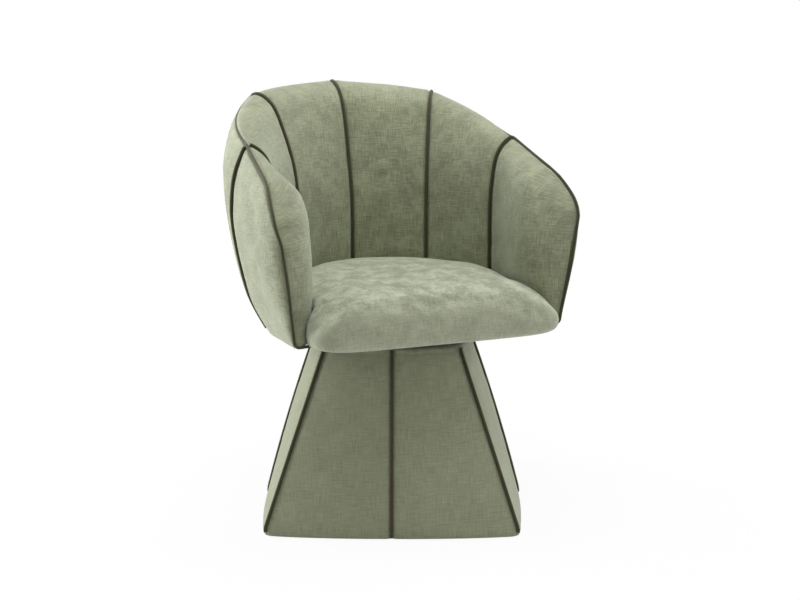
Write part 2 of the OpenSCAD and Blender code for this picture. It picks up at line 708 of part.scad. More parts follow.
module spindle_bush() {
    color([0.7, 0.6, 0.35]) difference() {
        union() {
            translate([0, 0, bush_low])
                cylinder(h = race_low_z + bush_flange_t - bush_low, r = bush_r, $fn = 48);
            translate([0, 0, race_low_z]) cylinder(h = bush_flange_t, r = bush_r + 6, $fn = 48);
        }
        translate([0, 0, bush_low - 1])
            cylinder(h = deck_t + 40, r = spindle_d / 2 + seat_gap, $fn = 48);
    }
}
washer_t = 2.5;
clip_t = 1.5;
washer_z = bush_low - gap - washer_t;
clip_z = washer_z - gap - clip_t;
spindle_low = clip_z - 4;
module spindle() {
    color(steel_colour) turned() difference() {
        union() {
            translate([0, 0, spindle_low])
                cylinder(h = board_z - spindle_low, d = spindle_d, $fn = 48);
            translate([0, 0, upper_plate_z - 4]) cylinder(h = 4, d = spindle_d + 36, $fn = 48);
        }
        translate([0, 0, clip_z - 0.1]) difference() {
            cylinder(h = clip_t + 0.2, d = spindle_d + 4, $fn = 48);
            translate([0, 0, -1]) cylinder(h = clip_t + 3, d = spindle_d - 2.2, $fn = 48);
        }
    }
}
module ring(z, h, r_in, r_out) {
    translate([0, 0, z]) linear_extrude(h) difference() {
        circle(r = r_out, $fn = 48);
        circle(r = r_in, $fn = 48);
    }
}
module thrust_washer() {
    color(steel_colour) turned() ring(washer_z, washer_t, spindle_d / 2 + 0.1, bush_r + 7);
}
module circlip() {
    color(steel_colour) turned() difference() {
        ring(clip_z, clip_t, spindle_d / 2 - 1, spindle_d / 2 + 3);
        translate([0, -2, clip_z - 1]) cube([spindle_d, 4, clip_t + 2]);
    }
}
head_h = 4.5;
module bolt(z_head, z_tip, up) {
    translate([0, 0, min(z_head, z_tip)]) cylinder(h = abs(z_tip - z_head), d = bolt_d, $fn = 32);
    translate([0, 0, up ? z_head - head_h : z_head]) cylinder(h = head_h, r = bolt_d * 0.85, $fn = 6);
}
module base_bolts() {
    color(steel_colour) at_bolts() bolt(race_low_z, deck_z - 2, false);
}
module seat_bolts() {
    color(steel_colour) turned() at_bolts() bolt(upper_plate_z, board_top - 1, true);
}
module tee_nut(z_flange, up) {
    z_barrel = up ? z_flange + tee_t : z_flange - tee_len;
    difference() {
        union() {
            translate([0, 0, z_flange]) cylinder(h = tee_t, r = tee_flange_r, $fn = 32);
            translate([0, 0, z_barrel]) cylinder(h = tee_len, r = tee_barrel_r, $fn = 32);
        }
        translate([0, 0, z_flange - tee_len - 1])
            cylinder(h = 3 * tee_len, r = bolt_d / 2 + seat_gap, $fn = 32);
    }
}
module base_tee_nuts() {
    color(steel_colour) at_bolts() tee_nut(deck_z - tee_t, true);
}
module seat_tee_nuts() {
    color(steel_colour) turned() at_bolts() tee_nut(board_top - tee_t - gap / 2, false);
}

floor_felt();
base_bottom_board();
base_top_board();
base_web_long();
base_web_cross();
base_panel(0);  // base_panel_front
base_panel(1);  // base_panel_right
base_panel(2);  // base_panel_back
base_panel(3);  // base_panel_left
base_pad_face(0);  // base_pad_front
base_pad_face(1);  // base_pad_right
base_pad_face(2);  // base_pad_back
base_pad_face(3);  // base_pad_left
base_corner_piping();
base_centre_piping();
swivel_lower_plate();
bearing_lower_race();
spindle_bush();
base_bolts();
base_tee_nuts();
bearing_balls();
bearing_cage();
swivel_upper_plate();
bearing_upper_race();
spindle();
thrust_washer();
circlip();
seat_bolts();
seat_tee_nuts();
seat_board();
shell_rail();
dust_cover();
shell_rib(0, 1);  // rib_centre
shell_rib(1, -1);  // rib_left
shell_rib(1, 1);  // rib_right
shell_rib(2, -1);  // rib_arm_left
shell_rib(2, 1);  // rib_arm_right
arm_post(-1);  // arm_post_left
arm_post(1);  // arm_post_right
shell_hoop();
seat_cushion();
arm_panel(-1);  // arm_panel_left
back_panel(1, -1);  // outer_panel_left
back_panel(0, -1);  // back_panel_left
back_panel(0, 1);  // back_panel_right
back_panel(1, 1);  // outer_panel_right
arm_panel(1);  // arm_panel_right
seam_piping(0, 1);  // seam_piping_centre
seam_piping(1, -1);  // seam_piping_left
seam_piping(1, 1);  // seam_piping_right
seam_piping(2, -1);  // seam_piping_arm_left
seam_piping(2, 1);  // seam_piping_arm_right
rim_piping();
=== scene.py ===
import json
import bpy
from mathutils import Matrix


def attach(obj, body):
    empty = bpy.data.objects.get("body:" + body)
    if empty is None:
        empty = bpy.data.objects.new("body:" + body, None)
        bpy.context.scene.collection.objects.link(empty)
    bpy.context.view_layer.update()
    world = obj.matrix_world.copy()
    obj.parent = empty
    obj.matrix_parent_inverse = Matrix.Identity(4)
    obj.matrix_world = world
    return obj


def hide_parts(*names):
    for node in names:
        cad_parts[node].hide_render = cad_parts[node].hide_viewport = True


bl_info = {
    "name": "Swivel Tub Armchair",
    "version": (1, 0, 0),
    "blender": (4, 5, 0),
    "location": "View3D > Sidebar > Armchair",
    "description": "Dresses the swivel armchair: padded panels, piping, cushion, base and finishes",
    "category": "Add Mesh",
}

from math import atan, cos, pi, radians, sin, sqrt

import bpy
import numpy as np
from mathutils import Vector, noise
from mathutils.kdtree import KDTree

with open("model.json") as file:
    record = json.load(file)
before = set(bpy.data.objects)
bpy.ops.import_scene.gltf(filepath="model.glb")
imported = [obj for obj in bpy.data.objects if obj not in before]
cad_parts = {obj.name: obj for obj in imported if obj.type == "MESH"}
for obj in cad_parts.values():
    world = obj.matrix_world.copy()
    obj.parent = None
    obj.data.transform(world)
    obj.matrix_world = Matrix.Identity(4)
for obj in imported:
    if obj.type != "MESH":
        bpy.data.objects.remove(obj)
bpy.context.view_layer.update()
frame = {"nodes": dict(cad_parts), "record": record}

# Measurements are in millimetres. The seat's own frame has X to the right as the chair is seen
# from the front, Y to the back and Z up, and left and right in names are meant the same way.
# The seat is turned against the base.
SEAT_TURN = radians(23)
BOARD_TOP = 388.0
RAIL_TOP = 424.3
FOOT_Z = 362.0
# The inside wall's foot at the back's middle, at the seams and at the arm's front: X, Y and the
# direction of the section in degrees
STATIONS = np.array([[0, 228, 0], [142, 159, 29], [230, 30, 83], [224, -120, 90]], float)
# The sections there, up the inside, over the rim and down the outside: distance from the foot
# and height
SECTION_BACK = [
    (0, RAIL_TOP), (0, 480), (3, 590), (20, 670), (45, 760), (72, 806), (112, 829),
    (138, 822), (147, 785), (138, 715), (112, 620), (84, 500), (50, 405), (22, FOOT_Z),
]
SECTION_SIDE = [
    (0, RAIL_TOP), (0, 480), (3, 590), (16, 670), (46, 745), (70, 785), (106, 807),
    (132, 800), (139, 765), (130, 705), (108, 625), (81, 510), (49, 410), (26, FOOT_Z),
]
SECTION_ARM = [
    (0, RAIL_TOP), (0, 480), (0, 585), (4, 635), (11, 674), (22, 698), (38, 714),
    (54, 719), (66, 696), (78, 655), (83, 590), (73, 515), (52, 430), (20, FOOT_Z),
]
SECTION_FRONT = [
    (0, RAIL_TOP), (0, 460), (0, 530), (3, 580), (7, 617), (17, 642), (37, 657),
    (69, 661), (83, 642), (93, 600), (94, 540), (82, 475), (61, 410), (40, FOOT_Z + 6),
]
SECTIONS = np.array([SECTION_BACK, SECTION_SIDE, SECTION_ARM, SECTION_FRONT], float)
# How far the rim drops between the seams of each panel, and each section point's share of it
RIM_SAG = (7.0, 11.0, 0.0)
SAG_SHARE = np.array([0, 0, 0, 0, 0.2, 0.6, 1, 1, 1, 0.6, 0.3, 0, 0, 0])
# Slope of the sections at the arm's front station, as a share of their last change
FRONT_PULL = 0.86
# Thickness of the padding, and the section points on the rim and at the outside's foot
PADDING = np.array([1, 1, 1, 1, 0.92, 0.84, 0.84, 0.84, 0.92, 1, 1, 0.75, 0.5, 0.42]) * 24
RIM = 7
LAST = 13
# Share of the outside's swell that the arm's taut outside face takes
ARM_TIGHTNESS = 0.3
# The arm's front, or nose, starts and ends at these distances before the swivel axis
NOSE_START = 120.0
ARM_REACH = 205.0
ARM_CORNER = 28.0
NOSE_FOOT = FOOT_Z + 14
# Over the nose the rim falls with this slope and curve, and it bows out over the corner
RIM_SLOPE = 0.58
RIM_CURVE = 0.0028
NOSE_BOW = np.array([0, 0, 0, 0, 0, 0.3, 0.7, 1, 0.7, 0.3, 0, 0, 0, 0]) * 7
# How far the nose's foot leans back, and up to which height over it
FOOT_LEAN = 13.0
LEAN_HEIGHT = 130.0
# The nose's ridge: its place at the foot, its slope, and the most that it leans out
RIDGE_FOOT = 43.0
RIDGE_SLOPE = 0.14
RIDGE_MOST = 76.0
INSIDE_TAPER = 0.8
OUTSIDE_TAPER = 1.1
# Along the nose the inside wall's foot comes down from the rail, from here and over this length
FOOT_START = 20.0
FOOT_RUN = 40.0


# Geometry


def spline(a, b, c, d, t):
    """Smooth curve through four values, between the second and the third."""
    return 0.5 * (
        2 * b + (c - a) * t + (2 * a - 5 * b + 4 * c - d) * t * t + (3 * b - a - 3 * c + d) * t ** 3
    )


def along(points, places):
    """Points at the given places on a smooth curve through a list of points."""
    points = np.asarray(points, float)
    places = np.atleast_1d(np.asarray(places, float))
    n = len(points) - 1
    i = np.clip(np.floor(places).astype(int), 0, n - 1)
    f = places - i
    if points.ndim > 1:
        f = f[:, None]
    return spline(
        points[np.maximum(i - 1, 0)], points[i], points[i + 1], points[np.minimum(i + 2, n)], f
    )


def ghost_station(i):
    """Station i, mirrored behind the back's middle and carried on before the arm's front."""
    if i < 0:
        return STATIONS[-i] * [-1, 1, -1]
    if i > 3:
        return STATIONS[3] + (STATIONS[3] - STATIONS[2]) * [0, 1, 0]
    return STATIONS[i]


def station_at(u):
    """Inside wall's foot at place u, and the direction of its section in degrees."""
    i = min(int(u), 2)
    return spline(*[ghost_station(i + k) for k in (-1, 0, 1, 2)], u - i)


def ghost_section(i):
    """Section i, mirrored behind the back's middle and carried on before the arm's front."""
    if i > 3:
        return SECTIONS[3] + (SECTIONS[3] - SECTIONS[2]) * FRONT_PULL
    return SECTIONS[abs(i)]


def section_at(u):
    """Section of the shell at place u, from 0 at the back's middle to 3 at the arm's front."""
    i = min(int(u), 2)
    f = u - i
    section = spline(*[ghost_section(i + k) for k in (-1, 0, 1, 2)], f)
    section[:, 1] -= RIM_SAG[i] * 4 * f * (1 - f) * SAG_SHARE
    return section


def normals(section, places):
    """Unit normals of a section, pointing out of the padding."""
    places = np.asarray(places, float)
    step = along(section, np.minimum(places + 0.1, LAST)) - along(
        section, np.maximum(places - 0.1, 0)
    )
    turned = np.stack([-step[:, 1], step[:, 0]], 1)
    return turned / np.linalg.norm(turned, axis=1)[:, None]


def swell(f):
    """Swell of the padding between two seams, 0 at a seam and 1 in the middle."""
    return np.maximum(4 * f * (1 - f), 0) ** 0.6


def swell_at(u):
    """Swell at place u, where the arm's panel is the rear half of a wider one."""
    return swell(u - int(u) if u < 2 else (u - 2) / 2)


def swell_size(places, shell):
    """How far a panel swells at each place of its section: inside, over the rim and outside."""
    inside, over, outside = (
        size * 1000 for size in (shell.inner_swell, shell.rim_swell, shell.outer_swell)
    )
    return np.interp(
        places, (0, 1, RIM - 2, RIM, RIM + 2, LAST - 1, LAST),
        (0, inside, inside, over, outside, outside, outside * 0.3),
    )


def swollen(places, shell, inner, outer):
    """Swell of a panel whose inside swells by the share inner, and its outside by outer."""
    return swell_size(places, shell) * np.interp(places, (RIM - 0.2, RIM + 0.2), (inner, outer))


def placed(points, u, side):
    """Section points put in the seat's frame, on the left side where side is -1."""
    x, y, angle = station_at(u)
    a = radians(angle)
    return np.stack(
        [side * (x + points[:, 0] * sin(a)), y + points[:, 0] * cos(a), points[:, 1]], 1
    )


def rotated(points, c, s):
    """Points in millimetres turned about the upright axis by a cosine and a sine, in metres."""
    p = np.asarray(points, float)
    x, y, z = p[..., 0], p[..., 1], p[..., 2]
    return np.stack([x * c - y * s, x * s + y * c, z], -1) / 1000


def turned(points):
    """Seat frame in millimetres to the row frame in metres."""
    return rotated(points, cos(SEAT_TURN), sin(SEAT_TURN))


def spin(points, quarter):
    """Base frame in millimetres, turned by quarter turns, to metres."""
    return rotated(points, *[(1, 0), (0, 1), (-1, 0), (0, -1)][quarter])


def ease(x):
    """Smooth step from 0 to 1."""
    x = np.clip(x, 0, 1)
    return x * x * (3 - 2 * x)


def ripple(points, size, seed):
    """Smooth noise between -1 and 1 at each point, with features of the given size."""
    flat = np.asarray(points, float).reshape(-1, 3) / size
    values = [noise.noise(Vector((p[0] + seed, p[1] - seed, p[2]))) for p in flat]
    return np.array(values).reshape(np.asarray(points).shape[:-1])


def lengths(points):
    """Distance travelled along a row of points, from its first one."""
    steps = np.linalg.norm(np.diff(points, axis=0), axis=1)
    return np.concatenate([[0], np.cumsum(steps)])


# Making objects


CORD_SIDES = 12
# Points of the simulated cover that each point of a piece follows
FOLLOWED = 6


def new_mesh(name, points, faces, uvs=None):
    """A mesh object from points in metres, faces, and one UV pair in metres per point."""
    old = bpy.data.objects.get(name)
    if old:
        bpy.data.objects.remove(old)
    mesh = bpy.data.meshes.new(name)
    mesh.from_pydata([tuple(p) for p in np.asarray(points).reshape(-1, 3)], [], faces)
    mesh.update()
    if uvs is not None:
        uvs = np.asarray(uvs, float).reshape(-1, 2)
        layer = mesh.uv_layers.new(name="Cloth")
        loops = np.empty(len(mesh.loops), int)
        mesh.loops.foreach_get("vertex_index", loops)
        layer.data.foreach_set("uv", uvs[loops].ravel())
    mesh.shade_smooth()
    mesh.set_sharp_from_angle(angle=radians(60))
    obj = bpy.data.objects.new(name, mesh)
    bpy.context.scene.collection.objects.link(obj)
    return obj


def strips(rows, n, flip=False):
    """Quads that join rings of n points each."""
    faces = []
    for j in range(rows - 1):
        for i in range(n):
            a, b = j * n + i, j * n + (i + 1) % n
            face = (a, b, b + n, a + n)
            faces.append(face[::-1] if flip else face)
    return faces


def tube(rows, n, flip=False, start=0):
    """Faces of a closed form of rings with n points each, with its two end faces."""
    last = (rows - 1) * n
    faces = strips(rows, n, flip)
    faces.append(tuple(range(n))[:: 1 if flip else -1])
    faces.append(tuple(range(last, last + n))[:: -1 if flip else 1])
    return [tuple(start + i for i in face) for face in faces]


def cord_mesh(name, paths, diameter):
    """One object with a round cord along each path of points in metres."""
    sides = CORD_SIDES
    points, faces, uvs = [], [], []
    for path in paths:
        path = np.asarray(path, float)
        tangent = np.gradient(path, axis=0)
        tangent /= np.linalg.norm(tangent, axis=1)[:, None]
        side = np.cross(tangent[0], (0.3, 0.2, 0.93))
        run = lengths(path)
        faces += tube(len(path), sides, start=len(points))
        for k, (p, t) in enumerate(zip(path, tangent)):
            side = side - t * np.dot(side, t)
            side /= np.linalg.norm(side)
            other = np.cross(t, side)
            for j in range(sides):
                a = 2 * pi * j / sides
                points.append(p + (side * cos(a) + other * sin(a)) * diameter / 2)
                uvs.append((run[k], (j if j <= sides / 2 else sides - j) / sides * diameter * pi))
    return new_mesh(name, points, faces, uvs)


def coordinates(mesh):
    """Places of a mesh's vertices."""
    places = np.empty(len(mesh.vertices) * 3)
    mesh.vertices.foreach_get("co", places)
    return places.reshape(-1, 3)


def tree_of(places):
    """Search tree over some places."""
    tree = KDTree(len(places))
    for i, place in enumerate(places):
        tree.insert(place, i)
    tree.balance()
    return tree


def stuffed(obj, held, stuffing, most):
    """Lets a cloth simulation press out the cover of a padded piece.

    An evenly meshed copy is simulated, with the vertices fixed that held marks. Each vertex of the
    piece then moves as the copy does beside it, and by no more than most.
    """
    scene = bpy.context.scene
    start = coordinates(obj.data)
    copy = obj.copy()
    copy.data = obj.data.copy()
    scene.collection.objects.link(copy)
    remesh = copy.modifiers.new("even_mesh", "REMESH")
    remesh.mode = "VOXEL"
    remesh.voxel_size = stuffing.mesh_size
    graph = bpy.context.evaluated_depsgraph_get()
    even = bpy.data.meshes.new_from_object(copy.evaluated_get(graph))
    copy.modifiers.clear()
    copy.data = even
    before = coordinates(even)
    nearest = tree_of(start)
    fixed = [i for i, place in enumerate(before) if held[nearest.find(place)[1]]]
    copy.vertex_groups.new(name="held").add(fixed, 1.0, "REPLACE")
    cloth = copy.modifiers.new("cover", "CLOTH")
    cloth.settings.use_pressure = True
    cloth.settings.uniform_pressure_force = stuffing.pressure
    cloth.settings.shrink_min = -stuffing.fullness
    cloth.settings.effector_weights.gravity = 0
    cloth.settings.vertex_group_mass = "held"
    cloth.point_cache.frame_start = 1
    cloth.point_cache.frame_end = stuffing.steps
    for step in range(1, stuffing.steps + 1):
        scene.frame_set(step)
    graph = bpy.context.evaluated_depsgraph_get()
    moves = coordinates(copy.evaluated_get(graph).data) - before
    bpy.data.objects.remove(copy)
    scene.frame_set(1)
    beside = tree_of(before)
    for i, place in enumerate(start):
        found = beside.find_n(place, FOLLOWED)
        weights = np.array([1 / (gap + 0.001) for _, _, gap in found])
        move = (moves[[k for _, k, _ in found]] * weights[:, None]).sum(0) / weights.sum()
        if not held[i]:
            start[i] += move * min(1, most / max(np.linalg.norm(move), 1e-9))
    obj.data.vertices.foreach_set("co", start.ravel())
    obj.data.update()


# Shader building


class Socket:
    """A shader value that takes part in Python expressions and adds the Math nodes it needs."""

    def __init__(self, tree, out):
        self.tree = tree
        self.out = out

    def math(self, operation, *values):
        return self.tree.add("ShaderNodeMath", {"operation": operation}, dict(enumerate(values)))

    def __add__(self, other):
        return self.math("ADD", self, other)

    def __sub__(self, other):
        return self.math("SUBTRACT", self, other)

    def __rsub__(self, other):
        return self.math("SUBTRACT", other, self)

    def __mul__(self, other):
        return self.math("MULTIPLY", self, other)

    def __pow__(self, other):
        return self.math("POWER", self, other)

    def __abs__(self):
        return self.math("ABSOLUTE", self)

    __radd__ = __add__
    __rmul__ = __mul__

    def sine(self):
        return self.math("SINE", self)

    def clamped(self):
        return self.tree.add("ShaderNodeClamp", {}, {"Value": self})

    def between(self, low, high):
        """0 below low, 1 above high and a smooth rise between them."""
        return self.tree.add(
            "ShaderNodeMapRange",
            {"interpolation_type": "SMOOTHSTEP"},
            {"Value": self, "From Min": low, "From Max": high},
        )


class Finish:
    """Nodes of a material or of the world, with one method that adds any of them."""

    def __init__(self, owner):
        owner.use_nodes = True
        self.owner = owner
        self.nodes = owner.node_tree.nodes
        self.links = owner.node_tree.links
        self.nodes.clear()

    def add(self, kind, settings=None, inputs=None, output=0):
        """Adds a node with its settings and the values or links of its sockets."""
        node = self.nodes.new(kind)
        for key, value in (settings or {}).items():
            setattr(node, key, value)
        for key, value in (inputs or {}).items():
            socket = node.inputs[key]
            if isinstance(value, Socket):
                self.links.new(value.out, socket)
            elif socket.type == "RGBA" and len(value) == 3:
                socket.default_value = (*value, 1)
            else:
                socket.default_value = value
        return Socket(self, node.outputs[output]) if node.outputs else None

    def mixed(self, factor, first, second):
        """Colour mix, first where the factor is 0."""
        colours = {0: factor, 6: first, 7: second}
        return self.add("ShaderNodeMix", {"data_type": "RGBA"}, colours, output=2)

    def shaded(self, colour, amount):
        """A colour brightened or darkened by a factor near 1."""
        scaled = {0: colour, "Scale": amount}
        return self.add("ShaderNodeVectorMath", {"operation": "SCALE"}, scaled)

    def noise(self, place, scale, detail, roughness):
        inputs = {"Vector": place, "Scale": scale, "Detail": detail, "Roughness": roughness}
        return self.add("ShaderNodeTexNoise", {}, inputs)

    def streaks(self, place, factors, detail, roughness):
        """Noise with its own scale along each axis."""
        inputs = {0: place, 1: factors}
        stretched = self.add("ShaderNodeVectorMath", {"operation": "MULTIPLY"}, inputs)
        return self.noise(stretched, 1, detail, roughness)

    def parts(self, place):
        first = self.add("ShaderNodeSeparateXYZ", {}, {0: place})
        return [Socket(self, out) for out in first.out.node.outputs]

    def facing_up(self):
        """How far the surface looks up, from -1 to 1."""
        return self.parts(self.add("ShaderNodeNewGeometry", output="Normal"))[2]

    def bump(self, height, distance, strength):
        inputs = {"Height": height, "Distance": distance, "Strength": strength}
        return self.add("ShaderNodeBump", {}, inputs)

    def surface(self, **inputs):
        """Closes the material with a Principled shader; names have underscores for spaces."""
        named = {key.replace("_", " "): value for key, value in inputs.items()}
        self.close("ShaderNodeOutputMaterial", self.add("ShaderNodeBsdfPrincipled", {}, named))
        return self.owner

    def close(self, kind, shader):
        self.add(kind, {}, {0: shader})

    def cloth_place(self):
        return self.add("ShaderNodeUVMap", {"uv_map": "Cloth"})

    def object_place(self):
        return self.add("ShaderNodeTexCoord", output="Object")

    def plainly_seen(self):
        """1 where the camera sees the white surroundings, also in a mirror and through glass."""
        rays = ("Is Camera Ray", "Is Glossy Ray", "Is Transmission Ray")
        seen, mirrored, through = (self.add("ShaderNodeLightPath", output=ray) for ray in rays)
        return (seen + mirrored + through).clamped()


def finish(name):
    """A new material, ready for its nodes."""
    return Finish(bpy.data.materials.new(name))


def chenille(name, look, nap, linen=1.0, cloud=24, painted_light_scale=(1, 1, 1), even_share=1.0):
    """Sage chenille: a slubbed weave under a short nap that lies in cloudy, brushed patches.

    The strengths of nap and slubs are nap and linen, and cloud is the scale of the patches. The
    colour scale argument multiplies the colours as painted light: paler and whiter on the cushion,
    a painted sheen and top light, and a little paler on the base, painted front light. The even
    share of the patches is seen on every face, and the rest only on faces that look up, as painted
    top light catching the nap.
    """
    f = finish(name)
    cloth = f.cloth_place()
    u, v, _ = f.parts(cloth)
    space = f.object_place()
    # Brushed patches of the nap, drawn out a little along both threads
    clouds = f.noise(space, cloud, 5, 0.65)
    brush_up = f.streaks(cloth, (70, 200, 1), 3, 0.6)
    brush_over = f.streaks(cloth, (200, 70, 1), 3, 0.6)
    patches = (clouds * 0.6 + brush_up * 0.2 + brush_over * 0.2).between(0.36, 0.64)
    # Painted light: on the cushion most of the nap's patches show only on faces that look up, where
    # the top light catches the nap; the shell and the base show them evenly
    wear_and_lit_nap = (f.facing_up().between(0.45, 0.95) * (1 - even_share) + even_share) * nap
    # Slubs: thick places in single threads of the warp and the weft
    warp = f.streaks(cloth, (520, 34, 1), 2, 0.6)
    weft = f.streaks(cloth, (34, 520, 1), 2, 0.6)
    slubs = (warp + weft - 1) * (1.5 * linen)
    # Threads
    turns = 2 * pi / look.thread_pitch
    weave = (u * turns).sine() * (v * turns).sine() * 0.5 + 0.5
    fuzz = f.noise(space, 1500, 2, 0.7)
    tone = 1 + (patches - 0.5) * wear_and_lit_nap * look.nap_contrast + slubs * 0.55 + (fuzz - 0.5) * 0.2
    blend = (0.5 + (patches - 0.5) * wear_and_lit_nap * 0.4 + slubs * 0.5).clamped()
    # Painted light: the colours are scaled paler and whiter on the cushion as painted sheen and top
    # light, and a little paler on the base as painted front light
    deep, pale = ([c * k for c, k in zip(shade, painted_light_scale)] for shade in (look.deep, look.pale))
    base = f.mixed(blend, deep, pale)
    height = weave * 0.3 + slubs * 1.2 + patches * (0.6 * nap) + fuzz * 0.5
    return f.surface(
        Base_Color=f.shaded(base, tone),
        Roughness=0.88,
        Sheen_Weight=look.sheen,
        Sheen_Roughness=0.55,
        Sheen_Tint=(0.95, 1.0, 0.93),
        Specular_IOR_Level=0.18,
        Normal=f.bump(height, look.bump_depth, 0.5),
    )


def cord_cloth(name, colour, sheen):
    """Twisted cloth over piping cord."""
    f = finish(name)
    run, girth, _ = f.parts(f.cloth_place())
    twist = ((run + girth * 1.1) * (2 * pi / 0.0022)).sine() * 0.5 + 0.5
    fuzz = f.noise(f.object_place(), 900, 2, 0.7)
    wear_and_lit_nap = f.noise(f.object_place(), 45, 3, 0.6)
    tone = 0.62 + twist * 0.3 + fuzz * 0.35 + (wear_and_lit_nap - 0.5) * 0.5
    return f.surface(
        Base_Color=f.shaded(colour, tone),
        Roughness=0.8,
        Sheen_Weight=sheen,
        Sheen_Roughness=0.4,
        Sheen_Tint=(0.75, 0.76, 0.66),
        Specular_IOR_Level=0.2,
        Normal=f.bump(twist * 0.8 + fuzz * 0.5, 0.0005, 0.7),
    )


def plywood(name, pale, dark, ply):
    """Birch plywood: long grain on its faces and stacked plies on its edges."""
    f = finish(name)
    place = f.object_place()
    _, _, height = f.parts(place)
    grain = f.streaks(place, (18, 230, 60), 4, 0.6)
    flame = f.streaks(place, (5, 34, 12), 2, 0.5)
    face = (grain * 0.6 + flame * 0.5).between(0.35, 0.75)
    plies = ((height * (2 * pi / ply)).sine() * 0.5 + 0.5).between(0.35, 0.65)
    edge = plies * 0.8 + grain * 0.2
    flat = abs(f.facing_up()).between(0.6, 0.9)
    mask = face * flat + edge * (1 - flat)
    pores = f.streaks(place, (90, 1400, 400), 2, 0.5)
    return f.surface(
        Base_Color=f.mixed(mask, pale, dark),
        Roughness=0.5 + pores * 0.25,
        Normal=f.bump(grain * 0.4 + pores * 0.6, 0.0004, 0.4),
    )


def pressed_board(name, colour):
    """Medium-density board: even fibres with fine flecks."""
    f = finish(name)
    place = f.object_place()
    fibres = f.noise(place, 700, 3, 0.7)
    flecks = f.noise(place, 160, 2, 0.6).between(0.56, 0.7)
    return f.surface(
        Base_Color=f.shaded(colour, 0.85 + fibres * 0.35 - flecks * 0.18),
        Roughness=0.82,
        Normal=f.bump(fibres, 0.0003, 0.4),
    )


def felted(name, colour):
    """Needled felt."""
    f = finish(name)
    place = f.object_place()
    fibres = f.noise(place, 900, 4, 0.75)
    clumps = f.noise(place, 110, 2, 0.6)
    return f.surface(
        Base_Color=f.shaded(colour, 0.5 + fibres * 0.8 + clumps * 0.4),
        Roughness=0.95,
        Sheen_Weight=0.25,
        Normal=f.bump(fibres + clumps * 0.5, 0.0008, 0.6),
    )


def coated_steel(name, colour):
    """Powder-coated steel with a fine orange-peel skin."""
    f = finish(name)
    place = f.object_place()
    peel = f.noise(place, 520, 2, 0.5)
    dust = f.noise(place, 60, 4, 0.6).between(0.5, 0.75)
    return f.surface(
        Base_Color=f.mixed(dust * 0.25, colour, (0.16, 0.16, 0.16)),
        Roughness=0.42 + dust * 0.2 + peel * 0.1,
        Normal=f.bump(peel, 0.0002, 0.5),
    )


def bright_metal(name, colour, rough):
    """Turned or plated metal with fine tool lines and slightly dulled patches."""
    f = finish(name)
    place = f.object_place()
    lines = f.streaks(place, (90, 90, 2600), 2, 0.6)
    dull = f.noise(place, 75, 3, 0.6).between(0.4, 0.7)
    return f.surface(
        Base_Color=f.shaded(colour, 0.85 + lines * 0.2 - dull * 0.12),
        Metallic=1.0,
        Roughness=rough + dull * 0.16 + lines * 0.08,
        Normal=f.bump(lines, 0.0001, 0.35),
    )


# Settings that a user would change


def number(name, description, default, low, high, unit="NONE", subtype="NONE"):
    return bpy.props.FloatProperty(
        name=name, description=description, default=default, min=low, max=high,
        unit=unit, subtype=subtype,
    )


def metres(name, description, default, low, high):
    return number(name, description, default, low, high, "LENGTH", "DISTANCE")


def fraction(name, description, default, most=1):
    return number(name, description, default, 0, most, subtype="FACTOR")


def watts(name, description, default):
    return number(name, description, default, 0, 500, "POWER")


def rgb(name, description, default):
    return bpy.props.FloatVectorProperty(
        name=name, description=description, default=default, min=0, max=1, size=3,
        subtype="COLOR",
    )


class ShellSettings(bpy.types.PropertyGroup):
    inner_swell: metres(
        "Inner swell", "How far a panel swells on the shell's inside", 0.008, 0.003, 0.01
    )
    rim_swell: metres("Rim swell", "How far a panel swells over the rim", 0.003, 0, 0.008)
    outer_swell: metres(
        "Outer swell", "How far a panel swells on the shell's outside", 0.017, 0.008, 0.024
    )
    groove: metres("Groove depth", "How deep a seam pulls into the padding", 0.005, 0.002, 0.007)
    pucker: metres("Pucker", "Height of the small gathers beside the seams", 0.0009, 0, 0.003)
    piping: metres("Piping diameter", "Diameter of the corded piping", 0.007, 0.004, 0.009)


class CushionSettings(bpy.types.PropertyGroup):
    height: metres(
        "Edge height", "Height of the cushion's top edge over the seat board", 0.064, 0.05, 0.075
    )
    crown: metres("Crown", "Rise of the cushion's middle over its edge", 0.022, 0.005, 0.035)
    lip_drop: metres(
        "Lip drop", "How far the front lip hangs below the board's top", 0.017, 0.01, 0.026
    )
    softness: metres("Softness", "Height of the soft dimples on the cushion", 0.0016, 0, 0.004)


class StuffingSettings(bpy.types.PropertyGroup):
    mesh_size: metres(
        "Mesh size", "Size of the even mesh on which the cover is simulated", 0.006, 0.003, 0.02
    )
    pressure: number("Pressure", "How hard the stuffing presses on the cover", 4, 0, 20)
    fullness: fraction(
        "Fullness", "How much larger the cloth is cut than the form it covers", 0.012, 0.1
    )
    steps: bpy.props.IntProperty(
        name="Steps", description="Frames over which the cover settles",
        default=20, min=2, max=60,
    )
    cushion_rise: metres(
        "Cushion rise", "The most that the cushion's cover may move", 0.005, 0, 0.02
    )


class BaseSettings(bpy.types.PropertyGroup):
    crown_foot: metres("Crown at the foot", "Crown of a base face at the floor", 0.016, 0, 0.03)
    crown_mid: metres("Crown at half height", "Crown of a base face halfway up", 0.026, 0, 0.045)
    crown_top: metres("Crown at the top", "Crown of a base face at its top", 0.027, 0, 0.04)


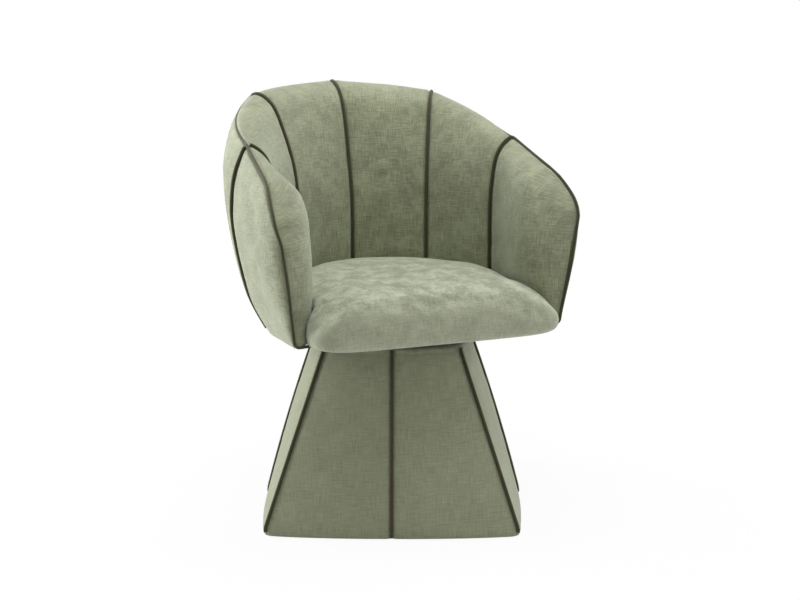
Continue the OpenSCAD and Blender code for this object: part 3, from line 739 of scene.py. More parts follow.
class FabricSettings(bpy.types.PropertyGroup):
    deep: rgb("Deep shade", "Fabric where the nap lies away", (0.235, 0.252, 0.152))
    pale: rgb("Pale shade", "Fabric where the nap catches the light", (0.325, 0.345, 0.222))
    thread_pitch: metres(
        "Thread pitch", "Distance between neighbouring threads", 0.0016, 0.0005, 0.005
    )
    nap_contrast: fraction("Nap contrast", "Difference between brushed and unbrushed nap", 0.16)
    sheen: fraction("Sheen", "Pale sheen of the nap at grazing angles", 0.5)
    bump_depth: metres("Bump depth", "Depth of the weave and nap", 0.0009, 0, 0.004)
    piping: rgb("Piping", "Colour of the piping's cloth", (0.058, 0.055, 0.026))


class HardwareSettings(bpy.types.PropertyGroup):
    birch: rgb("Birch", "Plywood's pale wood", (0.62, 0.46, 0.28))
    birch_dark: rgb("Birch grain", "Plywood's dark grain and cross plies", (0.36, 0.23, 0.12))
    coating: rgb("Coating", "Powder coat of the plates and the hoop", (0.03, 0.03, 0.032))
    zinc: rgb("Zinc", "Plated bolts, races, balls and spindle", (0.62, 0.63, 0.65))


class StageSettings(bpy.types.PropertyGroup):
    floor: rgb("Floor", "Colour of the floor", (0.86, 0.86, 0.86))
    shadow: fraction("Plain floor", "How far the floor near the chair is seen as plain white", 0.94)
    top: watts("Top light", "Power of the large softbox overhead", 53)
    left: watts("Side light", "Power of the softbox to the left", 56)
    right: watts("Right light", "Power of the weaker softbox to the right", 20)
    front: watts("Front fill", "Power of the weak softbox in front", 9)
    room: number("Room light", "Strength of the even light from all sides", 0.25, 0, 2)
    lens: number("Lens", "Focal length on a 36 mm sensor", 57.26, 10, 200, "CAMERA")


# Shell


SEAM_PLACES = 0.5 - 0.5 * np.cos(np.linspace(0, pi, 45))
SECTION_PLACES = np.unique(
    np.round(np.concatenate([np.arange(0, 13.001, 0.1), np.arange(6.6, 7.41, 0.04)]), 3)
)
LINING_PLACES = np.arange(13, -0.01, -0.5)
# Name, place and side of each seam, and the rim piping's diameter as a share of the seams'
SEAMS = (
    ("centre", 0, 1), ("left", 1, -1), ("right", 1, 1), ("arm_left", 2, -1), ("arm_right", 2, 1),
)
RIM_SHARE = 0.88
# Rows at the middle of a back panel and at the arm's front station
BACK_ROW = 22
ARM_ROW = 29
# Depth and width of the groove under the rim's piping, and width of the grooves at the seams
RIM_GROOVE = 2.5
RIM_GROOVE_WIDTH = 4.0
SEAM_WIDTH = 5.0
# Gathers start beside the seams; the skin is pinned down on the seams themselves
GATHER_SIZE = 26.0
GATHER_HEIGHT = 1.6
GATHER_START = 6.0
WAVE_SIZE = 90.0
WAVE_HEIGHT = 0.9
PINNED = 7.0
# How deep the rim's piping lies, how much deeper along the outer panels, and how far it rises
# over the nose's corner
RIM_SUNK = 2.7
OUTER_DIP = 1.6
CORNER_RISE = 2.5
CORNER_SWELL = 0.6
# How much farther along the cloth a panel's outside lies than its inside
CLOTH_OFFSET = 700.0
# The seams' piping touches the padding at this share of a panel's width, where the padding has
# risen by the next share of its swell
TOUCH_WIDTH = 0.03
TOUCH_SWELL = 0.279


def groove_at(distance, width=SEAM_WIDTH):
    """Depth of a groove at a distance from its seam, 1 at the seam."""
    return np.exp(-((distance / width) ** 2))


def raised(section, places, rise):
    """Points at places of a section, lifted off it along its normals."""
    return along(section, places) + normals(section, places) * np.asarray(rise)[:, None]


def span_between(u, places):
    """Width of the panel that starts at place u, at each place of its section."""
    here = placed(along(section_at(u), places), u, 1)
    there = placed(along(section_at(min(u + 1, 3)), places), min(u + 1, 3), 1)
    return np.linalg.norm(here - there, axis=1)


def rim_groove(section):
    """Depth of the groove under the rim's piping, along a section."""
    run = lengths(along(section, SECTION_PLACES))
    distance = np.abs(run - np.interp(RIM, SECTION_PLACES, run))
    return RIM_GROOVE * groove_at(distance, RIM_GROOVE_WIDTH)


def shell_ring(u, side, inner, outer, shell, seam_gaps):
    """Skin and lining of a panel at place u, swollen by the shares inner and outer."""
    section = section_at(u)
    sunk = shell.groove * 1000 * sum(groove_at(d) for d in seam_gaps) + rim_groove(section)
    rise = swollen(SECTION_PLACES, shell, inner, outer) - sunk
    depth = swollen(LINING_PLACES, shell, inner, outer) - along(PADDING, LINING_PLACES)
    ring = raised(section, SECTION_PLACES, rise), raised(section, LINING_PLACES, depth)
    return [placed(points, u, side) for points in ring]


def gathered(outer, seam_gap, amount, seed):
    """Moves a padded skin in and out a little: gathers beside the seams, soft waves elsewhere."""
    step_u = np.gradient(outer, axis=0)
    step_v = np.gradient(outer, axis=1)
    out = np.cross(step_v, step_u)
    out /= np.maximum(np.linalg.norm(out, axis=2), 1e-9)[..., None]
    beside = groove_at(seam_gap, GATHER_SIZE) * (1 - groove_at(seam_gap, GATHER_START))
    waves = ripple(outer, GATHER_SIZE, seed) * beside * GATHER_HEIGHT
    waves += ripple(outer, WAVE_SIZE, seed + 7) * WAVE_HEIGHT
    return outer + out * (waves * ease(seam_gap / PINNED) * amount)[..., None]


def panel_uv(outer, anchor):
    """Cloth coordinates of a panel in metres: level and upright threads from the row anchor on."""
    steps = np.linalg.norm(np.diff(outer[..., :2], axis=0), axis=2)
    across = np.concatenate([np.zeros((1, outer.shape[1])), np.cumsum(steps, 0)])
    runs = np.array([lengths(ring) for ring in outer])
    inside, outside = outer[:, :1, 2], outer[:, -1:, 2] + CLOTH_OFFSET + runs[:, -1:]
    runs = np.where(SECTION_PLACES > RIM, outside - runs, inside + runs)
    return np.stack([across - across[anchor], runs], -1) / 1000


def padded_panel(name, rings, gaps, side, shell, seed, anchor):
    """A closed padded panel from its rings of skin and lining, and their distances to a seam."""
    outer, inner = (np.array(rows) for rows in zip(*rings))
    outer = gathered(outer, np.array(gaps), shell.pucker * -1000 * side, seed)
    uvs = panel_uv(outer, anchor)
    uvs = np.concatenate([uvs, np.repeat(uvs[:, -1:], inner.shape[1], 1)], 1)
    rings = np.concatenate([outer, inner], 1)
    return new_mesh(name, turned(rings), tube(*rings.shape[:2], side > 0), uvs)


def back_panel(name, first, side, shell):
    """A panel between two seams of the back."""
    width = span_between(first, SECTION_PLACES)
    rings, gaps = [], []
    for f in SEAM_PLACES:
        both = [f * width, (1 - f) * width]
        rings.append(shell_ring(first + f, side, swell(f), swell(f), shell, both))
        gaps.append(np.minimum(*both))
    return padded_panel(name, rings, gaps, side, shell, 3.0 + first * 5 + side, BACK_ROW)


def nose_rim(y):
    """Height of the arm's rim at a distance y before the swivel axis."""
    over = max(y - (ARM_REACH - ARM_CORNER), 0) / ARM_CORNER
    fall = RIM_SLOPE * (y - NOSE_START) + RIM_CURVE * (y - NOSE_START) ** 2
    return SECTIONS[3][RIM][1] - fall - ARM_CORNER * (1 - sqrt(1 - over ** 2))


def nose_lean(y, z):
    """How far a point of the arm's front lies back from the distance y, by its height."""
    share = (y - NOSE_START) / (ARM_REACH - NOSE_START)
    return FOOT_LEAN * share * (1 - ease((z - NOSE_FOOT) / LEAN_HEIGHT))


def ridge_out(z):
    """Place of the arm's front ridge at a height."""
    return min(RIDGE_FOOT + (z - FOOT_Z) * RIDGE_SLOPE, RIDGE_MOST)


def nose_width(a, inside):
    """Share of the arm's thickness that is left at an angle of its front."""
    return cos(a) ** (INSIDE_TAPER if inside else OUTSIDE_TAPER)


def nose_section(a):
    """Section of the arm's front, which thins to its ridge as the angle a goes to 90 degrees."""
    y = NOSE_START + (ARM_REACH - NOSE_START) * sin(a)
    k = (nose_rim(y) - RAIL_TOP) / (SECTIONS[3][RIM][1] - RAIL_TOP)
    down = min(max((y - NOSE_START - FOOT_START) / FOOT_RUN, 0), 1)
    rows = []
    for i, (out, z) in enumerate(SECTIONS[3]):
        n = nose_width(a, i < RIM)
        if i == 0:
            z = RAIL_TOP + (NOSE_FOOT - RAIL_TOP) * down
        elif z > RAIL_TOP:
            z = RAIL_TOP + (z - RAIL_TOP) * k
        else:
            z = NOSE_FOOT + (z - NOSE_FOOT) * n
        ridge = ridge_out(z)
        rows.append((ridge + (out - ridge) * n + NOSE_BOW[i] * sin(2 * a), z))
    return np.array(rows), y


def arm_panel(name, side, shell):
    """The arm's panel: from its seam forward, over the nose to the ridge."""
    width = span_between(2, SECTION_PLACES)
    rings, gaps = [], []
    for f in 1 - np.cos(np.linspace(0, pi / 2, 30)):
        gaps.append(f * width)
        share = swell(f / 2)
        taut = share * ARM_TIGHTNESS * (1 - f ** 4)
        rings.append(shell_ring(2 + f, side, share, taut, shell, gaps[-1:]))
    x0 = STATIONS[3][0]
    n = len(LINING_PLACES)
    across = (np.arange(n)[::-1] + 0.5)[:, None] / n
    for a in np.radians(np.linspace(2, 88, 28)):
        section, y = nose_section(a)
        rise = swollen(SECTION_PLACES, shell, nose_width(a, True), 0)
        skin = raised(section, SECTION_PLACES, rise - rim_groove(section) * cos(a))
        lining = skin[0] + (skin[-1] - skin[0]) * across
        rings.append([
            np.stack([side * (x0 + out), nose_lean(y, z) - y, z], 1)
            for out, z in (skin.T, lining.T)
        ])
        gaps.append(width + y - NOSE_START)
    return padded_panel(name, rings, gaps, side, shell, 21.0 + side, ARM_ROW)


def seam_height(u, places, shell):
    """Height of the piping's middle over the bare section."""
    rise = shell.groove * 1000 + TOUCH_SWELL * swell_size(places, shell)
    spans = span_between(max(u - 1, 0), places), span_between(u, places)
    width = TOUCH_WIDTH * np.minimum(*spans)
    reach = shell.piping * 500 + 0.4
    return reach / np.sin(np.arctan(width / rise)) - shell.groove * 1000


def rim_line(shell):
    """Middle of the right-hand side's piping, from the back's middle to the arm's foot."""
    radius = shell.piping * 500
    height = radius - RIM_SUNK
    over = shell.rim_swell * 1000
    line = []
    for u in np.arange(0, 2.91, 0.04):
        rise = (over, -OUTER_DIP, over * (1 + ARM_TIGHTNESS) / 2)[int(u)]
        point = raised(section_at(u), [RIM], [swell_at(u) * rise + height])
        line.append(placed(point, u, 1)[0])
    n = normals(SECTIONS[3], [RIM])[0]
    for a in np.radians(np.arange(8, 76, 4)):
        section, y = nose_section(a)
        fall = (nose_rim(y) - nose_rim(min(y + 0.5, ARM_REACH))) / 0.5
        up = np.array([n[0] * cos(a), -fall, 1])
        up /= np.linalg.norm(up)
        point = np.array([STATIONS[3][0] + section[RIM][0], -y, section[RIM][1]])
        rise = height + CORNER_RISE * (1 - cos(a)) + CORNER_SWELL * over * cos(a)
        line.append(point + up * rise)
    ridge_y = -ARM_REACH - radius + 0.3
    for z in np.linspace(nose_rim(ARM_REACH) - 3, NOSE_FOOT + 6, 18):
        line.append((STATIONS[3][0] + ridge_out(z), ridge_y + nose_lean(ARM_REACH, z), z))
    foot = STATIONS[3][0] + ridge_out(FOOT_Z)
    under = NOSE_FOOT - radius + 1
    for inward, back, up in ((1, 2, 3), (7, 5, 0), (20, 7, 0), (32, 9, 0)):
        line.append((foot - inward, ridge_y + FOOT_LEAN + back, under + up))
    return along(np.array(line), np.arange(0, len(line) - 0.99, 0.5))


# Cushion


# The outline round the front corners and across the lip
CUSHION_FRONT = [
    (218, -147), (231, -173), (245, -190), (249, -207), (246, -232), (233, -251),
    (204, -261), (120, -266), (0, -268),
]
# The crown's place, its distance from the sides, and the profiles' point on the top edge
CUSHION_MID = np.array([0.0, -25.0])
CUSHION_REACH = 240.0
CUSHION_UPPER = 5
# The lip's profile takes over along these stretches before the swivel axis, below and above
LIP_START, LIP_RUN = 172.0, 26.0
SLOPE_START, SLOPE_RUN = 90.0, 160.0
# Size, seed and share of the dimples
DIMPLES = ((120, 4, 1), (42, 9, 0.35))
# Before this line, the sides of the cushion stand free of the shell
CUSHION_FREE = -175.0
# The front corners, round which the cushion thins out: place, size, share and rise of its floor
CUSHION_TIP = np.array([250.0, -225.0])
TIP_SIZE = 52.0
TIP_SHARE = 0.44
TIP_RISE = 4.0
# The ring that gives the side of the cushion its direction
SIDE_RING = 10


def cushion_outline(shell):
    """Closed outline of the cushion with evenly spaced points."""
    half = []
    for i in range(13):
        u = i / 4
        out = -(shell.inner_swell * 1000 * max(swell_at(u), 0.55) + 1.2)
        half.append(placed(np.array([[out, 0]]), u, 1)[0][:2])
    half += [np.array(p, float) for p in CUSHION_FRONT]
    ring = half + [p * [-1, 1] for p in half[-2:0:-1]]
    loop = np.array(ring[-1:] + ring + ring[:2])
    fine = along(loop, np.arange(1, len(ring) + 0.999, 0.125))
    run = lengths(fine)
    even = np.linspace(0, run[-1], 221)[:-1]
    return np.stack([np.interp(even, run, fine[:, k]) for k in (0, 1)], 1)


def cushion_profiles(cushion):
    """Rows of [distance in from the outline, height] at the sides and at the front lip."""
    edge = BOARD_TOP + cushion.height * 1000
    crown = cushion.crown * 1000
    drop = BOARD_TOP - cushion.lip_drop * 1000
    top = BOARD_TOP + 0.3
    sides = [
        (30, top), (26, top), (3, top), (0, BOARD_TOP + 9), (0, edge - 22), (2, edge - 9),
        (8, edge - 1), (28, edge + crown * 0.25), (66, edge + crown * 0.58),
        (115, edge + crown * 0.84), (175, edge + crown * 0.97), (CUSHION_REACH, edge + crown),
    ]
    lip = [
        (29, top), (26, drop), (12, drop), (3, drop + 10), (0, edge - 48), (4, edge - 27),
        (15, edge - 11), (38, edge + crown * 0.1), (74, edge + crown * 0.5),
        (120, edge + crown * 0.81), (177, edge + crown * 0.965), (CUSHION_REACH, edge + crown),
    ]
    return np.array(sides), np.array(lip)


def cushion_rings(shell, cushion):
    """Rings of the cushion from its underside over the lip and the sides to the crown."""
    outline = cushion_outline(shell)
    sides, lip = cushion_profiles(cushion)
    towards = CUSHION_MID - outline
    reach = np.linalg.norm(towards, axis=1)
    low = np.clip((-outline[:, 1] - LIP_START) / LIP_RUN, 0, 1)
    high = ease((-outline[:, 1] - SLOPE_START) / SLOPE_RUN)
    floor = BOARD_TOP - cushion.lip_drop * 1000
    rings = []
    for k in np.concatenate([np.arange(0, 2, 0.5), np.arange(2, 10.9, 0.16), [10.93]]):
        blend = ease(k - CUSHION_UPPER + 1)
        w = low * (1 - blend) + high * blend
        if k < 2:
            i = int(k)
            a, b = (line[i] + (line[i + 1] - line[i]) * (k - i) for line in (sides, lip))
        else:
            a, b = (along(line, [k])[0] for line in (sides, lip))
        q = a[None] * (1 - w[:, None]) + b[None] * w[:, None]
        scale = ease(k - CUSHION_UPPER - 1)
        inward = q[:, 0] * (1 + (reach / CUSHION_REACH - 1) * scale)
        xy = outline + towards / reach[:, None] * inward[:, None]
        away = np.linalg.norm(np.abs(xy) * [1, 0] + xy * [0, 1] - CUSHION_TIP, axis=1)
        tip = groove_at(away, TIP_SIZE)
        height = q[:, 1] + TIP_RISE * tip * low
        if k >= 2:
            height -= (q[:, 1] - floor) * TIP_SHARE * tip
        rings.append(np.column_stack([xy, height]))
    return np.array(rings)


def seat_cushion(shell, cushion, stuffing):
    """The cushion as one closed crowned form, pressed out by its stuffing, with soft dimples."""
    rings = cushion_rings(shell, cushion)
    rows, n = rings.shape[:2]
    edge = BOARD_TOP + cushion.height * 1000
    centre = np.array([*CUSHION_MID, edge + cushion.crown * 1000])
    under = np.array([*CUSHION_MID, BOARD_TOP + 0.3])
    # Dimples on top, shallower towards the front, and waves over the lip
    on_top = ease((rings[..., 2] - edge + 40) / 30)
    front = ease((-rings[..., 1] - 120) / 100)
    soft = cushion.softness * 1000
    lift = sum(ripple(rings, size, seed) * soft * share for size, seed, share in DIMPLES)
    rings[..., 2] += lift * on_top * (1 - front * 0.4)
    rings[..., 1] += ripple(rings, 75, 15) * soft * 0.7 * front
    points = np.concatenate([rings.reshape(-1, 3), centre[None], under[None]])
    faces = strips(rows, n, flip=True)
    top, bottom = rows * n, rows * n + 1
    last = (rows - 1) * n
    faces += [(last + (i + 1) % n, last + i, top) for i in range(n)]
    faces += [(i, (i + 1) % n, bottom) for i in range(n)]
    # The cloth lies flat over the top and hangs straight down the sides
    side = rings[SIDE_RING, :, :2]
    step = np.roll(side, -1, 0) - np.roll(side, 1, 0)
    out = np.stack([step[:, 1], -step[:, 0]], 1) / np.linalg.norm(step, axis=1)[:, None]
    out *= np.sign(((side - CUSHION_MID) * out).sum(1))[:, None]
    uvs = rings[..., :2] + out * np.maximum(edge - rings[..., 2], 0)[..., None]
    uvs = np.concatenate([uvs.reshape(-1, 2), [CUSHION_MID, CUSHION_MID]]) / 1000
    cover = new_mesh("seat_cushion_cover", turned(points), faces, uvs)
    # Below, and where the shell hems it in, the cover stays where it is
    held = points[:, 2] < BOARD_TOP + 2
    held |= (points[:, 1] > CUSHION_FREE) & (points[:, 2] < edge + 3)
    stuffed(cover, held, stuffing, stuffing.cushion_rise)
    return cover


# Base


# Width at the floor, lean of the faces, and height of the boxed base
BASE_W = 486.0
BASE_LEAN = 0.335
BASE_H = 335.0
BASE_TILT = atan(BASE_LEAN)
# Thickness of the pads, the gap at their backs and edges, and how deep the seams sink
BASE_PAD = 8.0
BACK_GAP = 0.3
EDGE_GAP = 0.05
CORNER_SUNK = 3.0
BASE_GROOVE = 3.0
# Over this level the faces stop leaning in, and the pads' backs step in by the neck
BASE_LEVEL = 334.0
PAD_NECK = 5.0
# Levels of the pads' rounded top edge, and the top of the piping
TOP_LEVELS = (338.5, 341, 342.8, 343.7, 344)
CORD_TOP = 340.0


def base_half(z, inset=0.0):
    """Half width of the base's face planes at a height, moved in at right angles to them."""
    return BASE_W / 2 - BASE_LEAN * z - inset / cos(BASE_TILT)


def base_crown(z, base):
    """How far a face of the base crowns in its middle, by height."""
    f = z / BASE_H
    foot, mid, top = base.crown_foot * 1000, base.crown_mid * 1000, base.crown_top * 1000
    return foot * (1 - f) * (1 - 2 * f) + mid * 4 * f * (1 - f) + top * f * (2 * f - 1)


def base_rounding(z):
    """How far the skin rolls in at its bottom and top edges."""
    low = np.interp(z, (2, 3, 5, 8, 12, 18), (4, 3, 2, 1.1, 0.5, 0))
    return low + np.interp(z, (326, BASE_LEVEL, *TOP_LEVELS), (0, 0.5, 1.5, 3, 5, 7, 9))


def corner_rounding(z):
    """How much farther the skin rolls in beside the corners' piping."""
    return np.interp(z, (2, 5, 12, 22), (0, 2, 1.5, 0))


def base_pad(name, quarter, shell, base):
    """One padded face of the base, with a seam up its middle."""
    across = np.sin(np.linspace(-pi / 2, pi / 2, 33))
    across = np.concatenate([(across - 1) / 2, (across[1:] + 1) / 2])
    heights = np.concatenate([
        np.arange(2, 20, 1.5), np.arange(20, 318, 7), np.arange(318, 334.1, 2),
        [336, *TOP_LEVELS],
    ])
    rows = []
    for z in heights:
        roll = float(base_rounding(z))
        level = min(z, BASE_LEVEL)
        sunk = CORNER_SUNK + roll + float(corner_rounding(z))
        corner = base_half(level) - sunk * cos(BASE_TILT)
        crown = base_crown(level, base) * np.maximum(1 - across ** 2, 0) ** 0.8
        bulge = crown + swell(np.abs(across))
        bulge -= BASE_GROOVE * groove_at(np.abs(across) * corner)
        out = bulge - roll - CORNER_SUNK * groove_at((1 - np.abs(across)) * corner)
        x = across * (corner - EDGE_GAP)
        y = -(base_half(level) + out * cos(BASE_TILT))
        rows.append(np.stack([x, y, np.full(len(x), z)], 1))
    outer = np.array(rows)
    gap = np.minimum(np.abs(outer[..., 0]), base_half(outer[..., 2]) - np.abs(outer[..., 0]))
    edge = np.minimum(outer[..., 2] - 2, TOP_LEVELS[-1] - outer[..., 2]) / 12
    gap = np.maximum(gap, 0) * np.clip(edge, 0, 1)
    outer = gathered(outer, gap, shell.pucker * 800, 40.0 + quarter * 3)
    inner = []
    for z in heights:
        b = base_half(min(z, BASE_LEVEL), BASE_PAD - BACK_GAP) - PAD_NECK * (z > BASE_LEVEL)
        x = np.linspace(b - EDGE_GAP, EDGE_GAP - b, 9)
        inner.append(np.stack([x, np.full(9, -b), np.full(9, z)], 1))
    rings = np.concatenate([outer, np.array(inner)], 1)
    uvs = np.stack([rings[..., 0], rings[..., 2]], -1) / 1000 + quarter * 0.37
    return new_mesh(name, spin(rings, quarter), tube(*rings.shape[:2]), uvs)


def base_seam(shell, base):
    """Middle of the piping up one face of the base."""
    line = []
    for z in np.linspace(5, CORD_TOP, 64):
        level = min(z, BASE_LEVEL)
        out = base_crown(level, base) - BASE_GROOVE - float(base_rounding(z))
        line.append((0, -(base_half(level) + out * cos(BASE_TILT)) - shell.piping * 500 - 0.5, z))
    return np.array(line)


def base_corner():
    """Middle of the piping up one corner of the base."""
    heights = np.concatenate([[9.5, 11.5, 14, 17], np.linspace(20, CORD_TOP, 78)])
    foot = np.interp(heights, (9.5, 14, 20), (2.6, 0.8, 0))
    corner = base_half(np.minimum(heights, BASE_LEVEL)) - foot
    return np.stack([-corner, -corner, heights], 1)


# Operators


def settings():
    return bpy.context.scene.armchair


def dress(obj, body, node, material):
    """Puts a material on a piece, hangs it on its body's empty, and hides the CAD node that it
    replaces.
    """
    obj.data.materials.clear()
    obj.data.materials.append(material)
    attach(obj, body)
    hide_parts(node)


def piped(name, body, node, paths, diameter):
    """A piece of piping along some paths of points in metres."""
    dress(cord_mesh(name, paths, diameter), body, node, cloth("piping_cloth"))


# How the chenille lies on each part: painted paler and whiter on the cushion as painted sheen and
# top light, with its nap patches painted stronger on faces that look up; painted a little paler on
# the base as painted front light, with a smooth nap
CHENILLES = {
    "chenille_shell": {"nap": 1.3},
    "chenille_cushion": {
        "nap": 2.7, "linen": 0.5, "cloud": 34, "painted_light_scale": (1.27, 1.27, 1.43), "even_share": 0.3,
    },
    "chenille_base": {"nap": 0.35, "linen": 0.6, "painted_light_scale": (1.08, 1.08, 1.1)},
}


def cloth(name):
    """A cloth by its material's name, made once."""
    look = settings().fabric
    if name in bpy.data.materials:
        return bpy.data.materials[name]
    if name in CHENILLES:
        return chenille(name, look, **CHENILLES[name])
    return cord_cloth(name, look.piping, 0.45)


class ARMCHAIR_OT_shell_panels(bpy.types.Operator):
    """Builds the six padded panels of the shell"""

    bl_idname = "armchair.shell_panels"
    bl_label = "Shell Panels"

    def execute(self, context):
        shell = settings().shell
        chenille_shell = cloth("chenille_shell")
        for side, word in ((-1, "left"), (1, "right")):
            for first, kind in ((0, "back"), (1, "outer")):
                panel = back_panel(f"{kind}_panel_{word}_cover", first, side, shell)
                dress(panel, "seat", f"{kind}_panel_{word}", chenille_shell)
            panel = arm_panel(f"arm_panel_{word}_cover", side, shell)
            dress(panel, "seat", f"arm_panel_{word}", chenille_shell)
        return {"FINISHED"}


class ARMCHAIR_OT_shell_piping(bpy.types.Operator):
    """Lays the piping in the shell's seams and round its rim"""

    bl_idname = "armchair.shell_piping"
    bl_label = "Shell Piping"

    def execute(self, context):
        shell = settings().shell
        for word, u, side in SEAMS:
            section = section_at(u)
            clear = shell.piping * 500 + 2.5
            before = clear / np.linalg.norm(section[RIM] - section[RIM - 1])
            after = clear / np.linalg.norm(section[RIM + 1] - section[RIM])
            paths = []
            for start, stop in ((0.4, RIM - before), (RIM + after, LAST - 0.1)):
                places = np.linspace(start, stop, 75)
                line = raised(section, places, seam_height(u, places, shell))
                paths.append(turned(placed(line, u, side)))
            name = f"seam_piping_{word}"
            piped(f"{name}_cord", "seat", name, paths, shell.piping)
        right = rim_line(shell)
        line = turned(np.concatenate([right[:0:-1] * [-1, 1, 1], right]))
        piped("rim_piping_cord", "seat", "rim_piping", [line], shell.piping * RIM_SHARE)
        return {"FINISHED"}


class ARMCHAIR_OT_cushion(bpy.types.Operator):
    """Builds the seat cushion"""

    bl_idname = "armchair.cushion"
    bl_label = "Seat Cushion"

    def execute(self, context):
        chair = settings()
        cover = seat_cushion(chair.shell, chair.cushion, chair.stuffing)
        dress(cover, "seat", "seat_cushion", cloth("chenille_cushion"))
        return {"FINISHED"}


class ARMCHAIR_OT_base_pads(bpy.types.Operator):
    """Builds the four padded faces of the base and their piping"""

    bl_idname = "armchair.base_pads"
    bl_label = "Base Pads"

    def execute(self, context):
        shell, base = settings().shell, settings().base
        for quarter, word in enumerate(("front", "right", "back", "left")):
            pad = base_pad(f"base_pad_{word}_cover", quarter, shell, base)
            dress(pad, "base", f"base_pad_{word}", cloth("chenille_base"))
        for kind, line in (("centre", base_seam(shell, base)), ("corner", base_corner())):
            paths = [spin(line, quarter) for quarter in range(4)]
            piped(f"base_{kind}_cord", "base", f"base_{kind}_piping", paths, shell.piping)
        return {"FINISHED"}


# Height of two plies of the plywood, in metres
PLY = 0.0028


class ARMCHAIR_OT_frame_finishes(bpy.types.Operator):
    """Gives the wooden and metal pieces of the frame and the swivel their finishes"""

    bl_idname = "armchair.frame_finishes"
    bl_label = "Frame Finishes"

    def execute(self, context):
        look = settings().hardware
        finishes = {
            "plywood": plywood("birch_plywood", look.birch, look.birch_dark, PLY),
            "panel_board": pressed_board("pressed_board", (0.42, 0.31, 0.2)),
            "felt": felted("black_felt", (0.022, 0.022, 0.024)),
            "black_steel": coated_steel("black_coating", look.coating),
            "bright_steel": bright_metal("zinc_plate", look.zinc, 0.26),
            "bush_brass": bright_metal("sintered_bush", (0.62, 0.47, 0.22), 0.36),
        }
        for part in frame["record"]["subparts"]:
            if part["material_slot"] in finishes:
                for place in frame["nodes"][part["node"]].material_slots:
                    place.material = finishes[part["material_slot"]]
        return {"FINISHED"}


WHITE = (1, 1, 1)
# The distances between which the floor goes over into plain white
FLOOR_FADE = (0.45, 1.3)
# Name, place, height of the aim, and size of each softbox
SOFTBOXES = (
    ("top", (0.1, 0.1, 2.7), 0.5, (2.2, 2.2)),
    ("left", (-2.3, 0.4, 0.85), 0.5, (1.4, 1.6)),
    ("right", (2.2, 0.4, 0.75), 0.45, (1.4, 1.3)),
    ("front", (1.5, -2.7, 1.3), 0.5, (1.8, 1.8)),
)
# The photograph's camera, fitted to the base and the mirrored seams
CAMERA_PLACE = (0.0307, -2.496, 0.9003)
CAMERA_ANGLES = (78.806, 0, 0.382)


class ARMCHAIR_OT_stage(bpy.types.Operator):
    """Sets the floor, the lights, the white background and the camera"""

    bl_idname = "armchair.stage"
    bl_label = "Stage"

    def softbox(self, name, place, height, size, power):
        """Hangs an area light that aims at a height over the chair's middle."""
        light = bpy.data.lights.new(name, "AREA")
        light.shape = "RECTANGLE"
        light.size, light.size_y = size
        light.energy = power
        lamp = bpy.data.objects.new(name, light)
        lamp.location = place
        aim = Vector((0, 0, height)) - Vector(place)
        lamp.rotation_euler = aim.to_track_quat("-Z", "Y").to_euler()
        bpy.context.scene.collection.objects.link(lamp)

    def floor(self, stage):
        corners = [(-8, -8, -0.0005), (8, -8, -0.0005), (8, 8, -0.0005), (-8, 8, -0.0005)]
        ground = new_mesh("studio_floor", corners, [(0, 1, 2, 3)])
        f = finish("studio_floor")
        speck = f.noise(f.object_place(), 3, 2, 0.5)
        across, along_floor, _ = f.parts(f.object_place())
        distance = (across * across + along_floor * along_floor) ** 0.5
        colour = f.shaded(stage.floor, 0.99 + speck * 0.02)
        matt = f.add("ShaderNodeBsdfDiffuse", {}, {"Color": colour})
        glow = f.add("ShaderNodeEmission", {}, {"Color": WHITE, "Strength": 1.0})
        white = distance.between(*FLOOR_FADE) * (1 - stage.shadow) + stage.shadow
        shaders = {0: f.plainly_seen() * white, 1: matt, 2: glow}
        f.close("ShaderNodeOutputMaterial", f.add("ShaderNodeMixShader", {}, shaders))
        ground.data.materials.append(f.owner)

    def execute(self, context):
        stage = settings().stage
        scene = context.scene
        scene.view_settings.view_transform = "Standard"
        self.floor(stage)
        for name, place, height, size in SOFTBOXES:
            self.softbox(f"{name}_softbox", place, height, size, getattr(stage, name))
        scene.world = bpy.data.worlds.new("white_room")
        f = Finish(scene.world)
        white = f.add("ShaderNodeBackground", {}, {"Color": WHITE})
        even = f.add("ShaderNodeBackground", {}, {"Color": WHITE, "Strength": stage.room})
        shaders = {0: f.plainly_seen(), 1: even, 2: white}
        f.close("ShaderNodeOutputWorld", f.add("ShaderNodeMixShader", {}, shaders))
        data = bpy.data.cameras.new("photo_camera")
        data.lens = stage.lens
        data.sensor_width = 36
        data.dof.use_dof = False
        camera = bpy.data.objects.new("photo_camera", data)
        camera.location = CAMERA_PLACE
        camera.rotation_euler = [radians(angle) for angle in CAMERA_ANGLES]
        scene.collection.objects.link(camera)
        scene.camera = camera
        return {"FINISHED"}


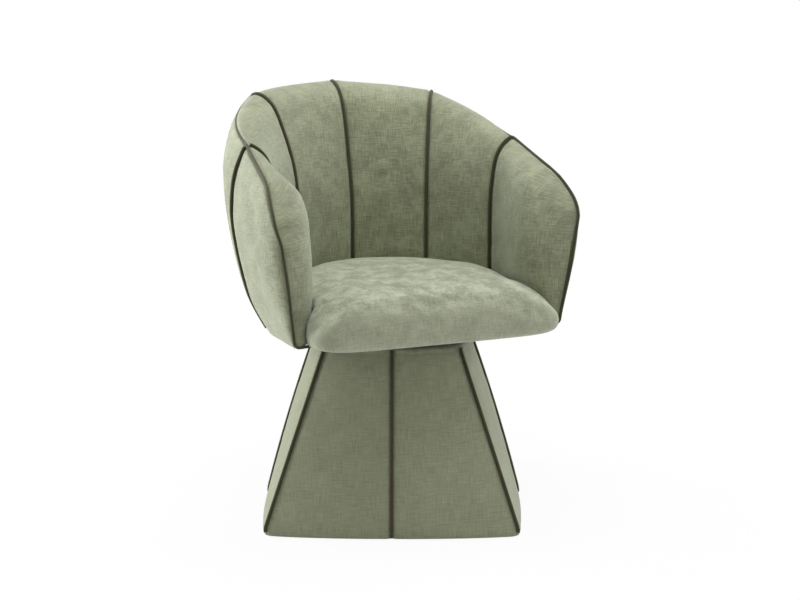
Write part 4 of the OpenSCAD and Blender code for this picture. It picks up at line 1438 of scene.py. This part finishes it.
class ArmchairSettings(bpy.types.PropertyGroup):
    shell: bpy.props.PointerProperty(type=ShellSettings)
    cushion: bpy.props.PointerProperty(type=CushionSettings)
    stuffing: bpy.props.PointerProperty(type=StuffingSettings)
    base: bpy.props.PointerProperty(type=BaseSettings)
    fabric: bpy.props.PointerProperty(type=FabricSettings)
    hardware: bpy.props.PointerProperty(type=HardwareSettings)
    stage: bpy.props.PointerProperty(type=StageSettings)


class ARMCHAIR_PT_panel(bpy.types.Panel):
    """Armchair pieces and their settings"""

    bl_label = "Armchair"
    bl_idname = "ARMCHAIR_PT_panel"
    bl_space_type = "VIEW_3D"
    bl_region_type = "UI"
    bl_category = "Armchair"

    def draw(self, context):
        chair = context.scene.armchair
        for group, operator in (
            ("stage", "armchair.stage"),
            ("shell", "armchair.shell_panels"),
            (None, "armchair.shell_piping"),
            ("stuffing", None),
            ("cushion", "armchair.cushion"),
            ("base", "armchair.base_pads"),
            ("fabric", None),
            ("hardware", "armchair.frame_finishes"),
        ):
            box = self.layout.box()
            if group:
                values = getattr(chair, group)
                for key in values.__annotations__:
                    box.prop(values, key)
            if operator:
                box.operator(operator)


CLASSES = (
    ShellSettings, CushionSettings, StuffingSettings, BaseSettings, FabricSettings,
    HardwareSettings, StageSettings, ArmchairSettings, ARMCHAIR_OT_shell_panels,
    ARMCHAIR_OT_shell_piping, ARMCHAIR_OT_cushion, ARMCHAIR_OT_base_pads,
    ARMCHAIR_OT_frame_finishes, ARMCHAIR_OT_stage, ARMCHAIR_PT_panel,
)


def register():
    for cls in CLASSES:
        bpy.utils.register_class(cls)
    bpy.types.Scene.armchair = bpy.props.PointerProperty(type=ArmchairSettings)


def unregister():
    del bpy.types.Scene.armchair
    for cls in reversed(CLASSES):
        bpy.utils.unregister_class(cls)


def main():
    register()
    bpy.ops.armchair.stage()
    bpy.ops.armchair.frame_finishes()
    bpy.ops.armchair.shell_panels()
    bpy.ops.armchair.shell_piping()
    bpy.ops.armchair.cushion()
    bpy.ops.armchair.base_pads()


if __name__ == "__main__":
    main()
